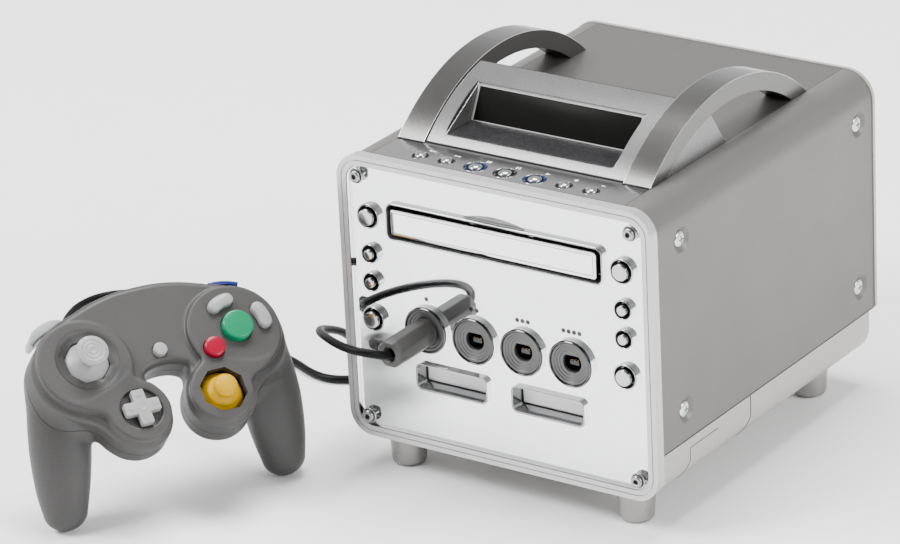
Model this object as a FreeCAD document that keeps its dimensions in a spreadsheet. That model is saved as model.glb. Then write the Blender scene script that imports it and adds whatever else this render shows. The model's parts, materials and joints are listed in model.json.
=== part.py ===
import FreeCAD, Part
import math, os, re
from types import SimpleNamespace
from FreeCAD import Vector as V, Placement, Rotation, Matrix

# Disc-playing console with a wired gamepad. Millimetres, +Z up, X to the viewer's right, Y to the back.
# Every piece is drawn in the console's own frame (x=0 in the middle, y=0 on the front face, z=0 on the table)
# and its Placement then moves it by (-org_x, -org_y), so that the origin lies under the middle of the whole set.

doc = FreeCAD.newDocument("console")
dims = doc.addObject("Spreadsheet::Sheet", "dims")
CELLS = [
    ("org_x", -57.965), ("org_y", 48.533),
    ("panel_w", 180.0), ("panel_low", 18.0), ("panel_top", 167.6), ("bezel_deep", 6.0), ("bezel_rad", 13.0),
    ("rim", 5.3), ("clear_front", 0.5), ("clear_thick", 3.5), ("fascia_front", 4.1), ("fascia_thick", 4.0),
    ("side_x", 89.1), ("body_deep", 212.0), ("part_line", 40.9), ("wall", 1.5), ("wrap_rad", 15.0),
    ("seam_x", 72.6), ("top_z", 167.8), ("ledge_front", 6.2), ("ledge_back", 27.2),
    ("screw_x", 78.5), ("screw_low", 28.6), ("screw_high", 156.6),
    ("side_screw_front", 28.6), ("side_screw_back", 196.7), ("side_screw_low", 57.0), ("side_screw_high", 145.3),
    ("foot_x", 67.0), ("foot_front", 16.3), ("foot_back", 181.8), ("foot_high", 18.0), ("foot_top_rad", 9.8), ("foot_low_rad", 8.7),
    ("button_x", 73.0), ("key_one", 136.2), ("key_two", 116.4), ("key_three", 101.4), ("key_four", 81.8),
    ("big_cap_rad", 4.2), ("small_cap_rad", 2.6), ("key_travel", 1.0),
    ("tray_z", 136.0), ("door_w", 118.0), ("door_h", 13.6), ("slot_open_w", 124.8), ("slot_open_h", 19.4),
    ("tray_travel", 125.0), ("tray_w", 116.0), ("pinion_rad", 12.0),
    ("port_pitch", 28.0), ("port_z", 81.9), ("port_rad", 12.0),
    ("card_x", 28.0), ("card_z", 56.4), ("card_w", 41.4), ("card_h", 13.6),
    ("arch_y", 101.7), ("arch_z", 89.5), ("arch_out", 107.3), ("arch_in", 98.0), ("arch_wide", 15.2), ("arch_side", 57.3),
    ("hood_rad", 106.3), ("hood_back", 97.6), ("recess_x", 48.9), ("recess_floor", 171.6),
    ("top_key_y", 13.6), ("dome_small", 2.9), ("dome_big", 3.5),
    ("handle_half", 62.0), ("handle_z", 150.0), ("handle_bar", 5.0), ("handle_back", 238.0),
    ("fan_x", -38.0), ("fan_z", 104.0), ("fan_rad", 23.0),
    ("pad_x", -146.72), ("pad_y", -75.35), ("pad_z", 81.33), ("tip_rad", 9.6), ("tip_x", 58.7), ("tip_y", -53.0), ("tip_z", -48.7), ("pad_turn", 61.28), ("pad_lean", 47.35),
    ("stick_x", 37.6), ("stick_y", 2.0), ("cstick_x", 22.6), ("cstick_y", -29.6), ("cord_dia", 4.2),
]
for i, (a, v) in enumerate(CELLS, 1):
    dims.set("A%d" % i, a)
    dims.set("B%d" % i, repr(float(v)))
    dims.setAlias("B%d" % i, a)
doc.recompute()
D = dict(CELLS)
dm = SimpleNamespace(**D)
ORG = V(-D["org_x"], -D["org_y"], 0)
NODES = []          # (label, object)
NAMES = sorted(D, key=len, reverse=True)


def expr(s):
    return re.sub(r"\b(" + "|".join(NAMES) + r")\b", r"dims.\1", s)


def bind(o, prop, s):
    o.setExpression(prop, expr(s))


def node(o, label):
    o.Label = label
    NODES.append((label, o))
    return o


def org(o):
    o.Placement = Placement(ORG, Rotation())
    bind(o, "Placement.Base.x", "-org_x")
    bind(o, "Placement.Base.y", "-org_y")


# ------------------------------------------------------------------ parametric primitives
def box(name, x, y, z, l, w, h):
    """x, y, z, l, w, h are formulas over the sheet's names"""
    b = doc.addObject("Part::Box", name)
    bind(b, "Length", l); bind(b, "Width", w); bind(b, "Height", h)
    bind(b, "Placement.Base.x", x); bind(b, "Placement.Base.y", y); bind(b, "Placement.Base.z", z)
    return b


def cyl(name, x, y, z, r, length, axis="Z"):
    """cylinder from (x, y, z) along +axis"""
    c = doc.addObject("Part::Cylinder", name)
    bind(c, "Radius", r); bind(c, "Height", length)
    rot = {"Z": Rotation(), "Y": Rotation(V(1, 0, 0), -90), "X": Rotation(V(0, 1, 0), 90)}[axis]
    c.Placement = Placement(V(), rot)
    bind(c, "Placement.Base.x", x); bind(c, "Placement.Base.y", y); bind(c, "Placement.Base.z", z)
    return c


def cut(name, base, tools):
    for i, t in enumerate(tools):
        c = doc.addObject("Part::Cut", "%s_c%d" % (name, i))
        c.Base, c.Tool = base, t
        base = c
    return base


def fuse(name, parts):
    f = doc.addObject("Part::MultiFuse", name)
    f.Shapes = parts
    return f


def feature(label, shape):
    o = doc.addObject("Part::Feature", label)
    o.Shape = shape
    org(o)
    return node(o, label)


def group(shapes):
    return Part.makeCompound(shapes)


# ------------------------------------------------------------------ sketch helpers
def plane_of(body, role):
    return [f for f in body.Origin.OriginFeatures if f.Role == role][0]


def new_sketch(body, role, off, name):
    s = body.newObject("Sketcher::SketchObject", name)
    s.AttachmentSupport = [(plane_of(body, role), "")]
    s.MapMode = "FlatFace"
    s.AttachmentOffset = Placement(V(0, 0, off), Rotation())
    return s


def rr(s, cx, cy, w, h, r):
    """rounded rectangle in a sketch"""
    x0, x1, y0, y1 = cx - w / 2, cx + w / 2, cy - h / 2, cy + h / 2
    L = lambda a, b: s.addGeometry(Part.LineSegment(V(a[0], a[1], 0), V(b[0], b[1], 0)), False)
    A = lambda c, a0, a1: s.addGeometry(Part.ArcOfCircle(Part.Circle(V(c[0], c[1], 0), V(0, 0, 1), r), math.radians(a0), math.radians(a1)), False)
    if r <= 0:
        L((x0, y0), (x1, y0)); L((x1, y0), (x1, y1)); L((x1, y1), (x0, y1)); L((x0, y1), (x0, y0)); return
    L((x0 + r, y0), (x1 - r, y0)); A((x1 - r, y0 + r), -90, 0)
    L((x1, y0 + r), (x1, y1 - r)); A((x1 - r, y1 - r), 0, 90)
    L((x1 - r, y1), (x0 + r, y1)); A((x0 + r, y1 - r), 90, 180)
    L((x0, y1 - r), (x0, y0 + r)); A((x0 + r, y0 + r), 180, 270)


def circ(s, cx, cy, r, r_expr=None):
    i = s.addGeometry(Part.Circle(V(cx, cy, 0), V(0, 0, 1), r), False)
    if r_expr:
        import Sketcher
        c = s.addConstraint(Sketcher.Constraint("Radius", i, r))
        s.setExpression("Constraints[%d]" % c, expr(r_expr))
    return i


def poly(s, pts):
    for a, b in zip(pts, pts[1:] + pts[:1]):
        s.addGeometry(Part.LineSegment(V(a[0], a[1], 0), V(b[0], b[1], 0)), False)


def pad(body, sk, length, rev=False):
    p = body.newObject("PartDesign::Pad", sk.Name + "_pad")
    p.Profile = sk
    bind(p, "Length", length)
    p.Reversed = rev
    sk.Visibility = False
    doc.recompute()
    return p


def pocket(body, sk, length, rev=False):
    v0 = body.Shape.Volume
    p = body.newObject("PartDesign::Pocket", sk.Name + "_pocket")
    p.Profile = sk
    bind(p, "Length", length)
    p.Reversed = rev
    doc.recompute()
    assert body.Shape.Volume < v0 - 1e-3, "pocket cuts nothing: " + sk.Name
    return p


def revolve(label, prof, centre, axis="Z"):
    """body of revolution: prof is [(r, along)...] about the body's own Z, turned to +axis at centre"""
    body = doc.addObject("PartDesign::Body", label + "_body")
    s = new_sketch(body, "XZ_Plane", 0, label + "_profile")
    poly(s, prof)
    r = body.newObject("PartDesign::Revolution", label + "_turn")
    r.Profile = s
    r.ReferenceAxis = (s, ["V_Axis"])
    r.Angle = 360
    doc.recompute()
    rot = {"Z": Rotation(), "-Z": Rotation(V(1, 0, 0), 180), "Y": Rotation(V(1, 0, 0), -90), "-Y": Rotation(V(1, 0, 0), 90)}[axis]
    body.Placement = Placement(V(*centre) + ORG, rot)
    return body


def panel_body(label, w, h, cx, cz, r, front, thick_expr):
    """plate across the console (XZ), from y=front towards the back"""
    body = doc.addObject("PartDesign::Body", label + "_body")
    s = new_sketch(body, "XZ_Plane", -front, label + "_outline")
    rr(s, cx, cz, w, h, r)
    pad(body, s, thick_expr, rev=True)
    return body


# solids made with Part's own functions
def prism_y(pts, y0, y1):
    """pts in (x, z), extruded from y0 to y1"""
    w = Part.makePolygon([V(p[0], y0, p[1]) for p in pts + pts[:1]])
    return Part.Face(w).extrude(V(0, y1 - y0, 0))


def prism_x(wire_pts_or_edges, x0, x1):
    if isinstance(wire_pts_or_edges[0], tuple):
        w = Part.makePolygon([V(x0, p[0], p[1]) for p in wire_pts_or_edges + wire_pts_or_edges[:1]])
    else:
        w = Part.Wire(wire_pts_or_edges)
    return Part.Face(w).extrude(V(x1 - x0, 0, 0))


def rr_wire(cx, cz, w, h, r, y):
    x0, x1, z0, z1 = cx - w / 2, cx + w / 2, cz - h / 2, cz + h / 2
    P = lambda x, z: V(x, y, z)
    k = r * (1 - math.sqrt(0.5))
    e = [Part.LineSegment(P(x0 + r, z0), P(x1 - r, z0)).toShape(), Part.Arc(P(x1 - r, z0), P(x1 - k, z0 + k), P(x1, z0 + r)).toShape(),
         Part.LineSegment(P(x1, z0 + r), P(x1, z1 - r)).toShape(), Part.Arc(P(x1, z1 - r), P(x1 - k, z1 - k), P(x1 - r, z1)).toShape(),
         Part.LineSegment(P(x1 - r, z1), P(x0 + r, z1)).toShape(), Part.Arc(P(x0 + r, z1), P(x0 + k, z1 - k), P(x0, z1 - r)).toShape(),
         Part.LineSegment(P(x0, z1 - r), P(x0, z0 + r)).toShape(), Part.Arc(P(x0, z0 + r), P(x0 + k, z0 + k), P(x0 + r, z0)).toShape()]
    return Part.Wire(e)


def rr_prism(cx, cz, w, h, r, y0, y1):
    return Part.Face(rr_wire(cx, cz, w, h, r, y0)).extrude(V(0, y1 - y0, 0))


def rr_loft(cx, cz, a, b):
    """a, b = (w, h, r, y)"""
    return Part.makeLoft([rr_wire(cx, cz, a[0], a[1], a[2], a[3]), rr_wire(cx, cz, b[0], b[1], b[2], b[3])], True, True)


def ycyl(x, z, r, y0, y1, r2=None):
    if r2 is None:
        return Part.makeCylinder(r, y1 - y0, V(x, y0, z), V(0, 1, 0))
    return Part.makeCone(r, r2, y1 - y0, V(x, y0, z), V(0, 1, 0))


def zcyl(x, y, r, z0, z1, r2=None):
    if r2 is None:
        return Part.makeCylinder(r, z1 - z0, V(x, y, z0), V(0, 0, 1))
    return Part.makeCone(r, r2, z1 - z0, V(x, y, z0), V(0, 0, 1))


def bx(x0, x1, y0, y1, z0, z1):
    return Part.makeBox(x1 - x0, y1 - y0, z1 - z0, V(x0, y0, z0))


def cutall(s, tools):
    return s.cut(tools) if tools else s


KEYS = [(-dm.button_x, dm.key_one, 1), (-dm.button_x, dm.key_two, 0), (-dm.button_x, dm.key_three, 0), (-dm.button_x, dm.key_four, 1),
        (dm.button_x, dm.key_one, 1), (dm.button_x, dm.key_two, 0), (dm.button_x, dm.key_three, 0), (dm.button_x, dm.key_four, 1)]
PORTS = [-1.5 * dm.port_pitch, -0.5 * dm.port_pitch, 0.5 * dm.port_pitch, 1.5 * dm.port_pitch]
SCREWS = [(sx * dm.screw_x, z) for sx in (-1, 1) for z in (dm.screw_low, dm.screw_high)]
panel_cz = (dm.panel_low + dm.panel_top) / 2
panel_h = dm.panel_top - dm.panel_low

# ------------------------------------------------------------------ front bezel
body = panel_body("front_bezel", dm.panel_w, panel_h, 0, panel_cz, dm.bezel_rad, 0, "bezel_deep")
s = new_sketch(body, "XZ_Plane", 0, "bezel_window")
rr(s, 0, panel_cz, dm.panel_w - 2 * dm.rim, panel_h - 2 * dm.rim, dm.bezel_rad - 4.2)
p = body.newObject("PartDesign::Pocket", "bezel_window_pocket")
p.Profile = s; p.Type = 1; p.Reversed = True; p.Midplane = False
doc.recompute()
if body.Shape.Volume > 0.5 * dm.panel_w * panel_h * dm.bezel_deep:
    p.Reversed = False
    doc.recompute()
s = new_sketch(body, "XZ_Plane", 0, "bezel_groove")
rr(s, 0, panel_cz, dm.panel_w - 4.9, panel_h - 4.9, dm.bezel_rad - 2.45)
rr(s, 0, panel_cz, dm.panel_w - 5.9, panel_h - 5.9, dm.bezel_rad - 2.95)
p = body.newObject("PartDesign::Pocket", "bezel_groove_pocket")
p.Profile = s; p.Length = 0.7
v0 = body.Shape.Volume
doc.recompute()
if abs(body.Shape.Volume - v0) < 1:
    p.Reversed = True
    doc.recompute()
print("bezel groove cut", v0 - body.Shape.Volume)
org(body)
node(body, "front_bezel")

# ------------------------------------------------------------------ clear front plate
body = panel_body("clear_front_plate", dm.panel_w - 2 * dm.rim - 0.6, panel_h - 2 * dm.rim - 0.6, 0, panel_cz, dm.bezel_rad - 4.5, dm.clear_front, "clear_thick")
s = new_sketch(body, "XZ_Plane", -dm.clear_front, "clear_holes")
rr(s, 0, dm.tray_z, dm.slot_open_w, dm.slot_open_h, 4.0)
for x, z, big in KEYS:
    circ(s, x, z, 6.5 if big else 5.0)
for x in PORTS:
    circ(s, x, dm.port_z, dm.port_rad + 0.25, "port_rad + 0.25")
for x in (-dm.card_x, dm.card_x):
    rr(s, x, dm.card_z, dm.card_w + 0.6, dm.card_h + 0.6, 3.3)
for x, z in SCREWS:
    circ(s, x, z, 1.7)
p = body.newObject("PartDesign::Pocket", "clear_holes_pocket")
p.Profile = s; p.Type = 1
v0 = body.Shape.Volume
doc.recompute()
if abs(body.Shape.Volume - v0) < 1:
    p.Reversed = True
    doc.recompute()
print("clear plate holes", v0 - body.Shape.Volume)
org(body)
node(body, "clear_front_plate")

# ------------------------------------------------------------------ mirror-plated fascia, with funnelled openings
f0, f1 = dm.fascia_front, dm.fascia_front + dm.fascia_thick
sol = rr_prism(0, panel_cz, dm.panel_w - 2 * dm.rim - 0.6, panel_h - 2 * dm.rim - 0.6, dm.bezel_rad - 4.5, f0, f1)
tools = [rr_loft(0, dm.tray_z, (dm.slot_open_w - 0.4, dm.slot_open_h - 0.4, 3.8, f0 - 0.01), (dm.tray_w + 3.4, dm.door_h + 1.6, 1.6, f1 + 0.01))]
for x, z, big in KEYS:
    rc = dm.big_cap_rad if big else dm.small_cap_rad
    tools += [ycyl(x, z, (6.2 if big else 4.7), f0 - 0.01, f0 + 2.6, rc + 0.9), ycyl(x, z, rc + 0.35, f0, f1 + 1)]
for x in PORTS:
    tools.append(ycyl(x, dm.port_z, 10.1, f0 - 1, f1 + 1))
for x in (-dm.card_x, dm.card_x):
    tools.append(rr_prism(x, dm.card_z, dm.card_w + 0.3, dm.card_h + 0.3, 3.1, f0 - 1, f1 + 1))
for x, z in SCREWS:
    tools.append(ycyl(x, z, 1.7, f0 - 1, f1 + 1))
# remote-control window: a shallow seat and a light path
tools.append(rr_prism(-71.6, 67.0, 13.6, 6.2, 3.0, f0 - 0.01, f0 + 0.8))
tools.append(rr_prism(-71.6, 67.0, 9.0, 3.6, 1.7, f0, f1 + 1))
# finger notch above the tray
notch = Part.makeCylinder(61.0, 2.4, V(0, f0 - 0.01, dm.tray_z + dm.slot_open_h / 2 + 3.0 - 61.0), V(0, 1, 0)).common(bx(-30, 30, f0 - 1, f1 + 1, dm.tray_z + dm.slot_open_h / 2 - 2.5, dm.tray_z + dm.slot_open_h / 2 + 4))
tools.append(notch)
feature("mirror_fascia", cutall(sol, tools))

# ------------------------------------------------------------------ gamepad sockets
socks = []
for x in PORTS:
    z = dm.port_z
    s1 = ycyl(x, z, dm.port_rad, -0.5, 3.95)
    s1 = s1.fuse(ycyl(x, z, 9.8, 3.9, f1 + 13))
    s1 = s1.cut([ycyl(x, z, 10.4, -0.6, 0.9), ycyl(x, z, 9.2, 0.8, 1.5), ycyl(x, z, 7.9, 1.4, 1.9)])
    dsh = ycyl(x, z, 5.2, 0, 14).cut(bx(x - 8, x + 8, -1, 15, z + 3.7, z + 9))
    s1 = s1.cut(dsh)
    socks.append(s1)
feature("gamepad_sockets", group(socks))

# ------------------------------------------------------------------ memory-card slots
frames = []
for x in (-dm.card_x, dm.card_x):
    z = dm.card_z
    s1 = rr_prism(x, z, dm.card_w, dm.card_h, 3.0, 0.6, 30)
    s1 = s1.cut([rr_loft(x, z, (dm.card_w - 0.8, dm.card_h - 0.8, 2.7, 0.59), (38.4, 9.4, 1.2, 6.0)), rr_prism(x, z, 38.4, 9.4, 1.2, 5.9, 31)])
    frames.append(s1)
feature("card_slot_frames", group(frames))
for lab, x in (("card_flap_a", -dm.card_x), ("card_flap_b", dm.card_x)):
    b1 = box(lab + "_plate", "%s*card_x - 18.7" % ("-1" if x < 0 else "1"), "7.6", "card_z - 4.3", "37.4", "1.4", "8.0")
    b2 = cyl(lab + "_pin", "%s*card_x - 18.7" % ("-1" if x < 0 else "1"), "8.3", "card_z + 3.6", "0.9", "37.4", "X")
    f = fuse(lab + "_fused", [b1, b2])
    org(f)
    node(f, lab)

# ------------------------------------------------------------------ disc tray and its door
door = doc.addObject("Part::Box", "tray_door_block")
bind(door, "Length", "door_w"); bind(door, "Width", "4.2"); bind(door, "Height", "door_h")
bind(door, "Placement.Base.x", "-door_w/2"); bind(door, "Placement.Base.y", "-0.3"); bind(door, "Placement.Base.z", "tray_z - door_h/2")
doc.recompute()
fl = doc.addObject("Part::Fillet", "tray_door_round")
fl.Base = door
edges = []
for i, e in enumerate(door.Shape.Edges, 1):
    c = e.CenterOfMass
    tg = e.tangentAt(e.FirstParameter)
    if abs(tg.y) > 0.9:
        edges.append((i, 1.4, 1.4))
fl.Edges = edges
doc.recompute()
ch = doc.addObject("Part::Chamfer", "tray_door_bevel")
ch.Base = fl
edges = [(i, 1.1, 1.1) for i, e in enumerate(fl.Shape.Edges, 1) if e.BoundBox.YMax < -0.29]
ch.Edges = edges
doc.recompute()
org(ch)
node(ch, "tray_door")

tz0 = 131.0
t0 = box("tray_plate", "-tray_w/2", "3.95", "%g" % tz0, "tray_w", "150", "5.4")
t1 = cyl("tray_large_well", "0", "76", "%g" % (tz0 + 3.2), "55.0", "5")
t1b = cyl("tray_small_well", "0", "76", "%g" % (tz0 + 1.8), "41", "5")
t2 = box("tray_slot", "-14", "76", "%g" % (tz0 - 1), "28", "90", "9")
t3 = cyl("tray_slot_round", "0", "76", "%g" % (tz0 - 1), "14", "9")
t4 = box("tray_under", "-tray_w/2 + 12", "10", "%g" % (tz0 - 0.1), "tray_w - 24", "140", "0.9")
tray = cut("tray_cut", t0, [t1, t1b, t2, t3, t4])
doc.recompute()
# the rack stands under the tray's left edge
mod, zt = 1.0, 24
pin_x, pin_y = -40.0, 30.0
rackx = pin_x - dm.pinion_rad            # pitch line of the rack
pitch = math.pi * mod
rt = []
nteeth = int((dm.tray_travel + 14) / pitch)
y_first = pin_y - 2 * pitch
for k in range(nteeth):
    yc = y_first + k * pitch
    if yc > 150:
        break
    rt.append(Part.Face(Part.makePolygon([V(rackx - 1.2, yc - 1.05, 0), V(rackx + 0.9, yc - 0.36, 0), V(rackx + 0.9, yc + 0.36, 0), V(rackx - 1.2, yc + 1.05, 0), V(rackx - 1.2, yc - 1.05, 0)])).extrude(V(0, 0, 2.2)).translate(V(0, 0, tz0 - 2.2)))
rack = bx(rackx - 2.0, rackx - 1.1, y_first - 2.2, y_first + (len(rt) - 1) * pitch + 2.2, tz0 - 2.2, tz0 + 0.2)
rack = rack.fuse(rt)
tr = tray.Shape.fuse(rack).removeSplitter()
feature("disc_tray", tr)

# pinion that drives the rack
teeth = [Part.makeCylinder(dm.pinion_rad - 1.45, 1.9, V(0, 0, 0))]
for k in range(zt):
    a = 360.0 / zt * (k + 0.5)
    t = Part.Face(Part.makePolygon([V(dm.pinion_rad - 1.8, -1.0, 0), V(dm.pinion_rad + 0.75, -0.36, 0), V(dm.pinion_rad + 0.75, 0.36, 0), V(dm.pinion_rad - 1.8, 1.0, 0), V(dm.pinion_rad - 1.8, -1.0, 0)])).extrude(V(0, 0, 1.9))
    t.rotate(V(), V(0, 0, 1), 180 + a)
    teeth.append(t)
gear = teeth[0].fuse(teeth[1:]).cut(Part.makeCylinder(2.05, 5, V(0, 0, -1)))
gear = gear.fuse(Part.makeCylinder(4.0, 3.6, V(0, 0, -3.6)).cut(Part.makeCylinder(2.05, 5, V(0, 0, -4.0))))
gear.translate(V(pin_x, pin_y, tz0 - 2.25))
feature("tray_pinion", gear.removeSplitter())

# drive chassis: floor, side rails and the posts for pinion and spindle
ch_s = bx(-66, 66, 12, 158, 118.0, 120.0)
ch_s = ch_s.fuse([bx(-66, -64, 12, 158, 119.9, 140), bx(64, 66, 12, 158, 119.9, 140), bx(-64.1, -55.5, 12, 158, 129.6, 130.8), bx(55.5, 64.1, 12, 158, 129.6, 130.8)])
ch_s = ch_s.fuse([bx(-64.1, -55.5, 12, 158, 136.6, 137.8), bx(55.5, 64.1, 12, 158, 136.6, 137.8)])
ch_s = ch_s.cut([bx(-50, -20, 100, 150, 110, 125), bx(20, 50, 100, 150, 110, 125), bx(-52, -20, 50, 90, 110, 125)])
ch_s = ch_s.fuse([zcyl(pin_x, pin_y, 1.98, 119.9, tz0 - 0.6), zcyl(pin_x, pin_y, 5.0, 119.9, tz0 - 6.1), zcyl(0, 76, 12.0, 119.9, 124.0), zcyl(0, 76, 2.0, 123.9, 130.0)])
ch_s = ch_s.fuse([bx(-70, -65.9, 20.5, 30, 20.0, 120), bx(65.9, 70, 20.5, 30, 20.0, 120), bx(-70, -65.9, 140, 150, 20.0, 120), bx(65.9, 70, 140, 150, 20.0, 120)])
feature("drive_chassis", ch_s.removeSplitter())
feature("disc_spindle", zcyl(0, 76, 13.0, 124.6, 127.0).fuse([zcyl(0, 76, 7.3, 126.9, 133.6), zcyl(0, 76, 7.3, 133.5, 135.0, 5.5)]).cut(zcyl(0, 76, 2.05, 120, 131)))

# ------------------------------------------------------------------ front keys
KEY_NAMES = ["power_button", "left_button_2", "left_button_3", "reset_button", "open_button", "right_button_2", "right_button_3", "right_button_4"]
for (x, z, big), lab in zip(KEYS, KEY_NAMES):
    rc = dm.big_cap_rad if big else dm.small_cap_rad
    out = 2.0 if big else 1.5
    # along the key's own axis: 0 is the front of the console, positive towards the back
    prof = [(0, -out), (rc - 0.7, -out), (rc - 0.2, -out + 0.2), (rc, -out + 0.7), (rc, f1 + 0.3), (rc + 1.6, f1 + 0.3), (rc + 1.6, f1 + 1.5), (0, f1 + 1.5)]
    b = revolve(lab, prof, (x, 0, z), "Y")
    node(b, lab)

# ------------------------------------------------------------------ control ledge and its keys
TOPK = [(-49.0, 0), (-33.8, 0), (-17.0, 1), (0.0, 1), (17.0, 1), (33.8, 0), (49.0, 0)]
body = doc.addObject("PartDesign::Body", "control_ledge_body")
s = new_sketch(body, "XY_Plane", 164.8, "ledge_outline")
rr(s, 0, (dm.ledge_front + dm.ledge_back) / 2, 2 * (dm.seam_x - 0.25), dm.ledge_back - dm.ledge_front, 0)
pad(body, s, "top_z - 164.8")
s = new_sketch(body, "XY_Plane", dm.top_z, "ledge_wells")
for x, big in TOPK:
    circ(s, x, dm.top_key_y, 6.3 if big else 4.6)
pocket(body, s, "1.3")
s = new_sketch(body, "XY_Plane", dm.top_z, "ledge_holes")
for x, big in TOPK:
    circ(s, x, dm.top_key_y, (dm.dome_big if big else dm.dome_small) + 0.35)
pocket(body, s, "5")
org(body)
node(body, "control_ledge")
TOP_NAMES = ["top_button_1", "top_button_2", "top_button_3", "top_button_4", "top_button_5", "top_button_6", "top_button_7"]
for (x, big), lab in zip(TOPK, TOP_NAMES):
    rd = dm.dome_big if big else dm.dome_small
    top = dm.top_z + 1.5
    n = 8
    arc = [(rd * math.sin(math.pi / 2 * k / n), dm.top_z - 0.4 + 1.9 * math.cos(math.pi / 2 * k / n)) for k in range(n + 1)]
    prof = arc + [(rd, 164.3), (rd + 1.2, 164.3), (rd + 1.2, 163.3), (0, 163.3)]
    b = revolve(lab, prof, (x, dm.top_key_y, 0), "Z")
    node(b, lab)

# ------------------------------------------------------------------ display hood
ay, az = dm.arch_y, dm.arch_z


def on_arc(r, z):
    return ay - math.sqrt(r * r - (z - az) ** 2)


def hood_section(r, y_top, z_top, x0, x1, z_low=None):
    zl = dm.top_z
    y0 = on_arc(r, zl)
    a0 = math.atan2(zl - az, y0 - ay); a1 = math.atan2(z_top - az, y_top - ay); am = (a0 + a1) / 2
    e = [Part.Arc(V(x0, y0, zl), V(x0, ay + r * math.cos(am), az + r * math.sin(am)), V(x0, y_top, z_top)).toShape(),
         Part.LineSegment(V(x0, y_top, z_top), V(x0, dm.hood_back, zl)).toShape(),
         Part.LineSegment(V(x0, dm.hood_back, zl), V(x0, y0, zl)).toShape()]
    return Part.Face(Part.Wire(e)).extrude(V(x1 - x0, 0, 0))


yt = 79.6
zt_ = az + math.sqrt(dm.hood_rad ** 2 - (yt - ay) ** 2)
# where the rear slope meets the circle under the rails
k_sl = (dm.top_z - zt_) / (dm.hood_back - yt)
rin = dm.arch_in - 0.25
A_, B_ = 1 + k_sl ** 2, 0
y_ = yt
best = None
for i in range(20001):
    yy = yt + (dm.hood_back - yt) * i / 20000.0
    zz = zt_ + k_sl * (yy - yt)
    f = math.hypot(yy - ay, zz - az) - rin
    if f <= 0:
        best = (yy, zz); break
ys, zs = best
zs = az + math.sqrt(rin ** 2 - (ys - ay) ** 2)
hx = dm.arch_side - 0.25
hood = hood_section(dm.hood_rad, yt, zt_, -hx, hx)
hood = hood.fuse([hood_section(rin, ys, zs, -dm.seam_x + 0.35, -hx + 1), hood_section(rin, ys, zs, hx - 1, dm.seam_x - 0.35)])
hood = hood.fuse(bx(-dm.seam_x + 0.25, dm.seam_x - 0.25, dm.ledge_back + 0.2, dm.hood_back, 164.8, dm.top_z))
rec = prism_x([(25, dm.recess_floor), (55.8, dm.recess_floor), (64.6, 188.4), (64.6, 205), (25, 205)], -dm.recess_x, dm.recess_x)
hood = hood.cut(rec)
# seat for the display panel behind the leaning face
ux, uz = 8.8, 16.8
ln = math.hypot(ux, uz); ux, uz = ux / ln, uz / ln      # up along the leaning face (y, z)
nx, nz = uz, -ux                                        # into the hood
q0 = (55.8 + ux * 0.6 + 0, dm.recess_floor + uz * 0.6)
q1 = (55.8 + ux * 17.6, dm.recess_floor + uz * 17.6)
seat = prism_x([q0, q1, (q1[0] + nx * 2.4, q1[1] + nz * 2.4), (q0[0] + nx * 2.4, q0[1] + nz * 2.4)], -46.6, 46.6)
hood = hood.cut(seat)
hood = hood.cut(bx(-40, 40, 34, 88, 160, 169.6))
feature("display_hood", hood.removeSplitter())
q0b = (55.8 + ux * 0.75, dm.recess_floor + uz * 0.75); q1b = (55.8 + ux * 17.45, dm.recess_floor + uz * 17.45)
feature("display_panel", prism_x([(q0b[0] + nx * 0.1, q0b[1] + nz * 0.1), (q1b[0] + nx * 0.1, q1b[1] + nz * 0.1), (q1b[0] + nx * 2.3, q1b[1] + nz * 2.3), (q0b[0] + nx * 2.3, q0b[1] + nz * 2.3)], -46.4, 46.4))

# ------------------------------------------------------------------ arched rails
rails = []
for sx in (-1, 1):
    x0 = dm.arch_side if sx > 0 else -dm.arch_side - dm.arch_wide
    ring = Part.makeCylinder(dm.arch_out, dm.arch_wide, V(x0, ay, az), V(1, 0, 0)).cut(Part.makeCylinder(dm.arch_in, dm.arch_wide + 2, V(x0 - 1, ay, az), V(1, 0, 0)))
    ring = ring.common(bx(x0 - 1, x0 + dm.arch_wide + 1, -50, 260, dm.top_z, 260))
    rails.append(ring)
feature("arched_rails", group(rails))

# ------------------------------------------------------------------ top panel, side covers, base tub
body = doc.addObject("PartDesign::Body", "top_panel_body")
s = new_sketch(body, "XY_Plane", dm.top_z - 1.5, "top_outline")
y0 = dm.hood_back + 0.3
rr(s, 0, (y0 + dm.body_deep - 1.6) / 2, 2 * (dm.seam_x - 0.25), dm.body_deep - 1.6 - y0, 0)
pad(body, s, "wall")
org(body)
node(body, "top_panel")

yA, yB = dm.bezel_deep + 0.2, dm.body_deep - 1.6


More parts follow.
